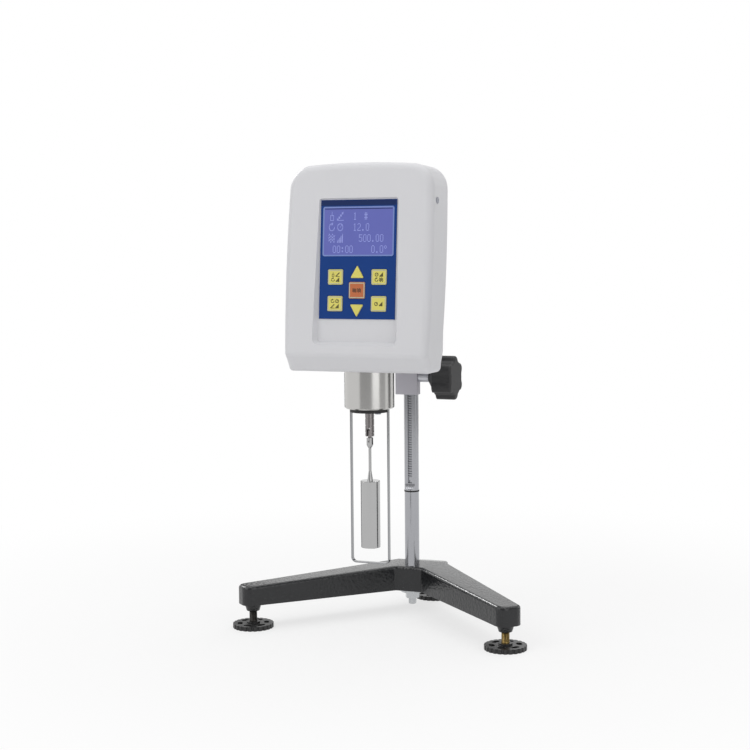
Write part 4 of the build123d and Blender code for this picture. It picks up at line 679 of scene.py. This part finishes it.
@dataclass
class FrontPanel:
    """Printed film with its display and keys, in the leaning recess of the front cover."""

    nodes: dict[str, bpy.types.Object]
    tilt: float = 4.8
    film: float = 0.8
    width: float = 76.2
    height: float = 112.0
    film_margin: float = 0.3
    band_corner: float = 0.4
    band_gap: float = 1.2
    window_width: float = 71.4
    window_height: float = 46.6
    window_gap: float = 6.4
    window_corner: float = 2.0
    rim_width: float = 1.3
    shadow_line: float = 0.7
    shadow_corner: float = 0.2
    shadow_drop: float = 2.1
    shadow_margin: float = 1.7
    print_height: float = 0.03
    dots_across: int = 128
    dots_up: int = 64
    dots_margin_side: float = 0.6
    dots_margin_foot: float = 0.4
    dots_margin_top: float = 2.2
    cell_dots: int = 8
    letter_spread: tuple[float, float] = (1.25, 1.2)
    letter_lift: int = 2
    symbol_columns: int = 16
    symbol_start: int = 7
    symbol_lift: int = 1
    key_rounding: float = 0.22
    key_depth: float = 6.0
    key_proud: float = 0.6
    key_rim: float = 0.9
    key_rim_margin: float = 0.25
    key_rim_corner: float = 1.0
    mark_pitch: float = 0.3
    mark_spread: float = 1.6
    mark_step: tuple[float, float] = (4.6, 4.8)

    def place(self, x: float = 0.0, y: float = 0.0, z: float = 0.0) -> Matrix:
        """From millimetres on the film, right, up and outwards, to the part.

        Args:
            x: origin's offset to the right, from the middle of the film's lower edge.
            y: origin's offset up the film.
            z: origin's offset out of the film.

        Returns:
            The matrix.
        """
        low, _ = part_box("keypad_overlay")
        lean = math.radians(self.tilt)
        across = Vector((1, 0, 0))
        up = Vector((0, math.sin(lean), math.cos(lean)))
        out = Vector((0, -math.cos(lean), math.sin(lean)))
        foot = Vector((0, low.y, low.z + self.film * MM * math.sin(lean)))
        spot = foot + (across * x + up * y + out * z) * MM
        axes = Matrix((across, up, out)).transposed().to_4x4()
        return Matrix.Translation(spot) @ axes @ Matrix.Scale(MM, 4)

    def build(self) -> None:
        """Dress the film and the display, and print what they show."""
        dress(self.nodes, {
            "keypad_overlay": PANEL_BLUE,
            "display_window": DISPLAY_LIT,
            "lcd_glass": DISPLAY_LIT,
            "lcd_board": BOARD_GREEN,
            "keypad_board": BOARD_GREEN,
            "key_switches": PART_BLACK,
        })
        self.bands()
        self.readout()
        for name, rows in KEY_MARKS.items():
            self.key(name, rows)

    def bands(self) -> None:
        """Navy band above the display, the pale rim of its window, and a painted shadow line under the
        window's top edge.
        """
        band = self.window_gap - self.band_gap
        add_piece("panel_top_band", rounded_plate(
            self.width - 2 * self.film_margin, band, self.band_corner, self.print_height,
            self.place(0, self.height - self.film_margin - band / 2),
        ), PANEL_NAVY_PRINT_AND_SHADOW, "head")
        add_piece("display_rim", rounded_plate(
            self.window_width, self.window_height, self.window_corner, self.print_height,
            self.place(0, self.height - self.window_gap - self.window_height / 2), self.rim_width,
        ), DISPLAY_RIM, "head")
        # Dark line just inside the window's top edge: painted shadow, not print.
        line_y = self.height - self.window_gap - self.shadow_drop
        add_piece("display_shadow_line", rounded_plate(
            self.window_width - 2 * self.shadow_margin, self.shadow_line, self.shadow_corner,
            self.print_height, self.place(0, line_y, self.print_height),
        ), PANEL_NAVY_PRINT_AND_SHADOW, "head")

    def readout(self) -> None:
        """Four rows of the dot display: pictograms and plain figures."""
        left = -self.window_width / 2 + self.rim_width + self.dots_margin_side
        foot = self.height - self.window_gap - self.window_height + self.rim_width + self.dots_margin_foot
        dots_height = self.window_height - 2 * self.rim_width - self.dots_margin_foot - self.dots_margin_top
        pitch = (-2 * left / self.dots_across, dots_height / self.dots_up)
        letter_pitch = (pitch[0] * self.letter_spread[0], pitch[1] * self.letter_spread[1])
        row_dots = self.dots_up // len(READOUT)
        place = self.place()
        lit = bmesh.new()
        for index, (symbols, figures) in enumerate(READOUT):
            base = self.dots_up - (index + 1) * row_dots
            for slot, symbol in enumerate(symbols):
                column = self.symbol_start + slot * self.symbol_columns
                corner = (left + column * pitch[0], foot + (base + self.symbol_lift) * pitch[1])
                add_dots(lit, symbol.dots(), corner, pitch, self.print_height, place)
            for cell, text in figures:
                for offset, letter in enumerate(text):
                    column = (cell + offset) * self.cell_dots
                    corner = (left + column * pitch[0], foot + (base + self.letter_lift) * pitch[1])
                    add_dots(lit, letter_dots(letter), corner, letter_pitch, self.print_height, place)
        add_piece("display_readout", lit, DISPLAY_DOTS, "head")

    def key(self, name: str, rows: tuple[tuple[Symbol, ...], ...]) -> None:
        """Round one key's edges, and give a square key its pale rim and its marks.

        Args:
            name: the key's node and body.
            rows: pictograms of each row of marks, from the top; none on the two arrow keys.
        """
        finish = KEY_ORANGE if name == "key_centre" else KEY_YELLOW
        soften(self.nodes, name, finish, name, self.key_rounding)
        if not rows:
            return
        low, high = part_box(name)
        centre = (low + high) / 2
        lean = math.radians(self.tilt)
        key_width = (high.x - low.x) / MM
        key_height = ((high.z - low.z) / MM - self.key_depth * math.sin(lean)) / math.cos(lean)
        up_film = (self.place().inverted() @ Vector((0, low.y, centre.z))).y
        place = self.place(centre.x / MM, up_film, self.key_proud)
        add_piece(f"{name}_rim", rounded_plate(
            key_width - 2 * self.key_rim_margin, key_height - 2 * self.key_rim_margin,
            self.key_rim_corner, self.print_height, place, self.key_rim,
        ), KEY_RIM, name)
        ink = bmesh.new()
        half = SYMBOL_SIZE / 2 * self.mark_pitch
        for row, symbols in enumerate(rows):
            y = ((len(rows) - 1) / 2 - row) * self.mark_step[1]
            for column, symbol in enumerate(symbols):
                x = (column - (len(symbols) - 1) / 2) * self.mark_step[0]
                add_dots(
                    ink, symbol.dots(), (x - half, y - half), (self.mark_pitch, self.mark_pitch),
                    self.print_height, place, fill=self.mark_spread,
                )
        add_piece(f"{name}_marks", ink, MARK_DARK, name)


# Rows of pictograms on each key, from the top.
KEY_MARKS = {
    "key_top_left": ((Symbol.CYLINDER, Symbol.STEPS), (Symbol.TURN, Symbol.BARS)),
    "key_top_right": ((Symbol.DIAL, Symbol.BARS), (Symbol.TURN, Symbol.WAVES)),
    "key_up": (),
    "key_centre": ((Symbol.WAVES, Symbol.WAVES),),
    "key_bottom_left": ((Symbol.TURN, Symbol.DIAL), (Symbol.STEPS, Symbol.BARS)),
    "key_bottom_right": ((Symbol.DIAL, Symbol.BARS),),
    "key_down": (),
}

# Rows of the display, from the top: its pictograms, then each figure with the letter cell it starts in.
READOUT = (
    ((Symbol.CYLINDER, Symbol.STEPS), ((6.8, "1"), (9.4, "#"))),
    ((Symbol.TURN, Symbol.DIAL), ((6.8, "12.0"),)),
    ((Symbol.WAVES, Symbol.BARS), ((8.2, "500.00"),)),
    ((), ((2.0, "00:00"), (11.2, "0.0*"))),
)


@dataclass
class Mechanism:
    """Frame, boards, drive and torque spring inside the head."""

    nodes: dict[str, bpy.types.Object]

    def build(self) -> None:
        """Dress every inner piece."""
        dress(self.nodes, {
            "chassis": SHEET_STEEL, "chassis_screws": ZINC_PLATE, "main_board": BOARD_GREEN,
            "gear_plate": SHEET_STEEL, "pillars": GEAR_BRASS, "motor_body": ZINC_PLATE,
            "motor_pinion": SHEET_STEEL, "drive_gear": GEAR_BRASS, "drive_shaft": DISC_BLACK,
            "hairspring": SPRING_BRONZE, "pivot_shaft": POLISHED_STEEL, "lower_disc": DISC_BLACK,
            "photo_sensors": PART_BLACK, "shaft_bearings": POLISHED_STEEL,
        })


@dataclass
class RearFittings:
    """Power socket and switch in the back of the head."""

    nodes: dict[str, bpy.types.Object]
    rounding: float = 0.3

    def build(self) -> None:
        """Round and dress the socket and the switch."""
        soften(self.nodes, "power_jack", PART_BLACK, "head", self.rounding)
        soften(self.nodes, "switch_frame", PART_BLACK, "head", self.rounding)
        soften(self.nodes, "switch_rocker", PART_BLACK, "rocker", self.rounding)


@dataclass
class SpindleTrain:
    """What hangs below the head: housing, guard, coupling and spindle."""

    nodes: dict[str, bpy.types.Object]
    guard_rounding: float = 0.25
    ring_rounding: float = 0.2
    link_rounding: float = 0.12

    def build(self) -> None:
        """Round and dress the housing, the guard, the coupling and the spindle."""
        soften(self.nodes, "lower_housing", TURNED_STEEL, "head")
        soften(self.nodes, "guard_ring", RING_BLACK, "head", self.ring_rounding)
        soften(self.nodes, "guard", BRIGHT_STRIP, "head", self.guard_rounding)
        soften(self.nodes, "coupling_sleeve", BLUED_STEEL, "pivot")
        soften(self.nodes, "coupling_link", BLUED_STEEL, "link", self.link_rounding)
        soften(self.nodes, "spindle", POLISHED_STEEL, "spindle")


# ---------------------------------------------------------------- studio


@dataclass
class Viewpoint:
    """Camera, placed from the foot of the column's axis on the bench.

    Its offset is in metres, its heading, dip and roll in degrees, its lens and sensor in millimetres.
    """

    offset: tuple[float, float, float] = (0.52708, -1.50228, 0.391801)
    heading: float = 20.673
    dip: float = 5.108
    roll: float = -0.5
    lens: float = 74.22
    sensor: float = 36.0
    near: float = 0.05
    far: float = 50.0

    def build(self) -> None:
        """Create the camera and make it the scene's own."""
        low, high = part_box("column")
        column = Vector(((low.x + high.x) / 2, (low.y + high.y) / 2, 0))
        turn, dip, tip = (math.radians(angle) for angle in (self.heading, self.dip, self.roll))
        level = Vector((-math.sin(turn), math.cos(turn), 0))
        right = Vector((math.cos(turn), math.sin(turn), 0))
        up = Vector((0, 0, 1))
        ahead = level * math.cos(dip) - up * math.sin(dip)
        above = up * math.cos(dip) + level * math.sin(dip)
        side = right * math.cos(tip) + above * math.sin(tip)
        top = above * math.cos(tip) - right * math.sin(tip)
        camera = bpy.data.cameras.new("camera")
        camera.lens = self.lens
        camera.sensor_width = self.sensor
        camera.clip_start = self.near
        camera.clip_end = self.far
        holder = bpy.data.objects.new("camera", camera)
        axes = Matrix((side, top, -ahead)).transposed().to_4x4()
        holder.matrix_world = Matrix.Translation(column + Vector(self.offset)) @ axes
        bpy.context.scene.collection.objects.link(holder)
        bpy.context.scene.camera = holder
        log.info("camera at %s", tuple(round(value, 4) for value in holder.location))


@dataclass
class Studio:
    """Pale floor, soft lamps, a white surround and cards that only reflections see.

    A card's azimuth is counted from the camera's side of the object, positive to the right.
    """

    floor_size: float = 12.0
    floor_tone: float = 0.93
    shadow_reach: tuple[float, float] = (0.15, 0.75)
    near_glow: float = 0.7
    surround: float = 0.3
    card_distance: float = 1.5
    card_middle: float = 0.35
    camera_azimuth: float = 289.3
    target: tuple[float, float, float] = (0.0, -0.05, 0.25)

    def build(self) -> None:
        """Build the floor, the surround, the lamps and the cards."""
        self.floor()
        self.world()
        self.lamp("key_lamp", (-1.3, -1.9, 1.7), 2.0, 24.0)
        self.lamp("fill_lamp", (1.9, -1.3, 0.9), 1.8, 10.5)
        self.lamp("spark_lamp", (-1.3, 0.7, 1.15), 0.6, 14.0, only_reflections=True)
        self.lamp("top_lamp", (0.1, 0.2, 2.3), 2.2, 23.0)
        self.lamp("back_lamp", (0.6, 2.0, 1.3), 1.8, 8.0)
        self.card("left_edge_card", -160.0, 0.35, 0.04)
        self.card("centre_card", -16.0, 1.5, 0.42)
        self.card("right_card", 60.0, 0.85, 0.5)
        self.card("dark_card", 104.0, 0.5, 0.1)
        self.card("right_edge_card", 150.0, 0.6, 0.14)

    def white_for_rays(self, tree: bpy.types.NodeTree) -> bpy.types.Node:
        """Node that is 1 for camera, glossy and transmission rays.

        Args:
            tree: tree that receives the nodes.

        Returns:
            The node whose first output is the factor.
        """
        path = tree.nodes.new("ShaderNodeLightPath")
        first = tree.nodes.new("ShaderNodeMath")
        first.operation = "MAXIMUM"
        both = tree.nodes.new("ShaderNodeMath")
        both.operation = "MAXIMUM"
        tree.links.new(path.outputs["Is Camera Ray"], first.inputs[0])
        tree.links.new(path.outputs["Is Glossy Ray"], first.inputs[1])
        tree.links.new(first.outputs[0], both.inputs[0])
        tree.links.new(path.outputs["Is Transmission Ray"], both.inputs[1])
        return both

    def world(self) -> None:
        """White surround for what looks at it, a soft grey one for what it lights."""
        scene_world = bpy.data.worlds.new("surround")
        bpy.context.scene.world = scene_world
        scene_world.use_nodes = True
        tree = scene_world.node_tree
        shade = tree.nodes["Background"]
        level = tree.nodes.new("ShaderNodeMapRange")
        level.inputs["To Min"].default_value = self.surround
        level.inputs["To Max"].default_value = 1.0
        tree.links.new(self.white_for_rays(tree).outputs[0], level.inputs["Value"])
        tree.links.new(level.outputs["Result"], shade.inputs["Strength"])
        shade.inputs["Color"].default_value = (1, 1, 1, 1)

    def floor(self) -> None:
        """Plain pale floor that keeps the shadow and fades into the surround."""
        plane = bmesh.new()
        bmesh.ops.create_grid(plane, x_segments=1, y_segments=1, size=self.floor_size / 2)
        self.stage_mesh("studio_floor", plane, self.floor_paint())

    def floor_paint(self) -> bpy.types.Material:
        """Pale paint that glows more the further it is from the object.

        Returns:
            The material of the floor.
        """
        paint = bpy.data.materials.new("studio_floor")
        paint.use_nodes = True
        tree = paint.node_tree
        shader = tree.nodes["Principled BSDF"]
        shader.inputs["Base Color"].default_value = (self.floor_tone, self.floor_tone, self.floor_tone, 1)
        shader.inputs["Roughness"].default_value = 0.8
        shader.inputs["Specular IOR Level"].default_value = 0.1
        glow = tree.nodes.new("ShaderNodeEmission")
        mixer = tree.nodes.new("ShaderNodeMixShader")
        place = tree.nodes.new("ShaderNodeTexCoord")
        away = tree.nodes.new("ShaderNodeVectorMath")
        away.operation = "LENGTH"
        fade = tree.nodes.new("ShaderNodeMapRange")
        fade.interpolation_type = "SMOOTHSTEP"
        fade.inputs["From Min"].default_value = self.shadow_reach[0]
        fade.inputs["From Max"].default_value = self.shadow_reach[1]
        fade.inputs["To Min"].default_value = self.near_glow
        fade.inputs["To Max"].default_value = 1.0
        gate = tree.nodes.new("ShaderNodeMath")
        gate.operation = "MULTIPLY"
        tree.links.new(place.outputs["Object"], away.inputs[0])
        tree.links.new(away.outputs["Value"], fade.inputs["Value"])
        tree.links.new(fade.outputs["Result"], gate.inputs[0])
        tree.links.new(self.white_for_rays(tree).outputs[0], gate.inputs[1])
        tree.links.new(gate.outputs[0], mixer.inputs["Fac"])
        tree.links.new(shader.outputs[0], mixer.inputs[1])
        tree.links.new(glow.outputs[0], mixer.inputs[2])
        tree.links.new(mixer.outputs[0], tree.nodes["Material Output"].inputs["Surface"])
        return paint

    def stage_mesh(self, name: str, shape: bmesh.types.BMesh, paint: bpy.types.Material) -> bpy.types.Object:
        """Put a finished bmesh on the stage, apart from the part itself.

        Args:
            name: name of the object and its mesh.
            shape: the mesh, already in place; it is freed.
            paint: its material.

        Returns:
            The new object.
        """
        mesh = bpy.data.meshes.new(name)
        shape.to_mesh(mesh)
        shape.free()
        mesh.materials.append(paint)
        staged = bpy.data.objects.new(name, mesh)
        bpy.context.scene.collection.objects.link(staged)
        return staged

    def aim(self, spot: tuple[float, float, float]) -> Matrix:
        """Matrix of something at spot whose -Z axis looks at the target."""
        towards = Vector(self.target) - Vector(spot)
        return Matrix.Translation(spot) @ towards.to_track_quat("-Z", "Y").to_matrix().to_4x4()

    def lamp(
        self, name: str, spot: tuple[float, float, float], size: float, power: float,
        only_reflections: bool = False,
    ) -> None:
        """One square soft lamp.

        Args:
            name: its name.
            spot: where it stands, in metres.
            size: edge of its square.
            power: in watts.
            only_reflections: whether it only draws highlights and lights nothing else.
        """
        light = bpy.data.lights.new(name, "AREA")
        light.shape = "SQUARE"
        light.size = size
        light.energy = power
        holder = bpy.data.objects.new(name, light)
        holder.matrix_world = self.aim(spot)
        holder.visible_camera = False
        holder.visible_diffuse = not only_reflections
        bpy.context.scene.collection.objects.link(holder)

    def card(self, name: str, azimuth: float, width: float, level: float) -> None:
        """One upright card that only reflections see.

        Args:
            name: its name.
            azimuth: where it stands round the object, in degrees.
            width: its width, in metres.
            level: how bright it looks, from 0 to 1.
        """
        turn = math.radians(self.camera_azimuth + azimuth)
        spot = (
            self.card_distance * math.cos(turn), self.card_distance * math.sin(turn), self.card_middle,
        )
        sheet = bmesh.new()
        bmesh.ops.create_grid(sheet, x_segments=1, y_segments=1, size=0.5)
        bmesh.ops.scale(sheet, verts=sheet.verts, vec=(width, 2 * self.card_distance, 1))
        bmesh.ops.transform(sheet, matrix=self.aim(spot), verts=sheet.verts)
        paint = bpy.data.materials.new(name)
        paint.use_nodes = True
        tree = paint.node_tree
        glow = tree.nodes.new("ShaderNodeEmission")
        glow.inputs["Strength"].default_value = level
        tree.links.new(glow.outputs[0], tree.nodes["Material Output"].inputs["Surface"])
        card = self.stage_mesh(name, sheet, paint)
        for rays in ("camera", "diffuse", "shadow", "transmission"):
            setattr(card, f"visible_{rays}", False)


def main() -> None:
    """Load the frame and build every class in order."""
    logging.basicConfig(level=logging.INFO, format="%(name)s: %(message)s")
    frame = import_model()
    bpy.context.scene.view_settings.view_transform = "Standard"
    nodes = frame["nodes"]
    Viewpoint().build()
    Studio().build()
    for part in (Stand, RackLift, HeadShell, FrontPanel, Mechanism, RearFittings, SpindleTrain):
        part(nodes).build()
        log.info("built %s", part.__name__)


if __name__ == "__main__":
    main()
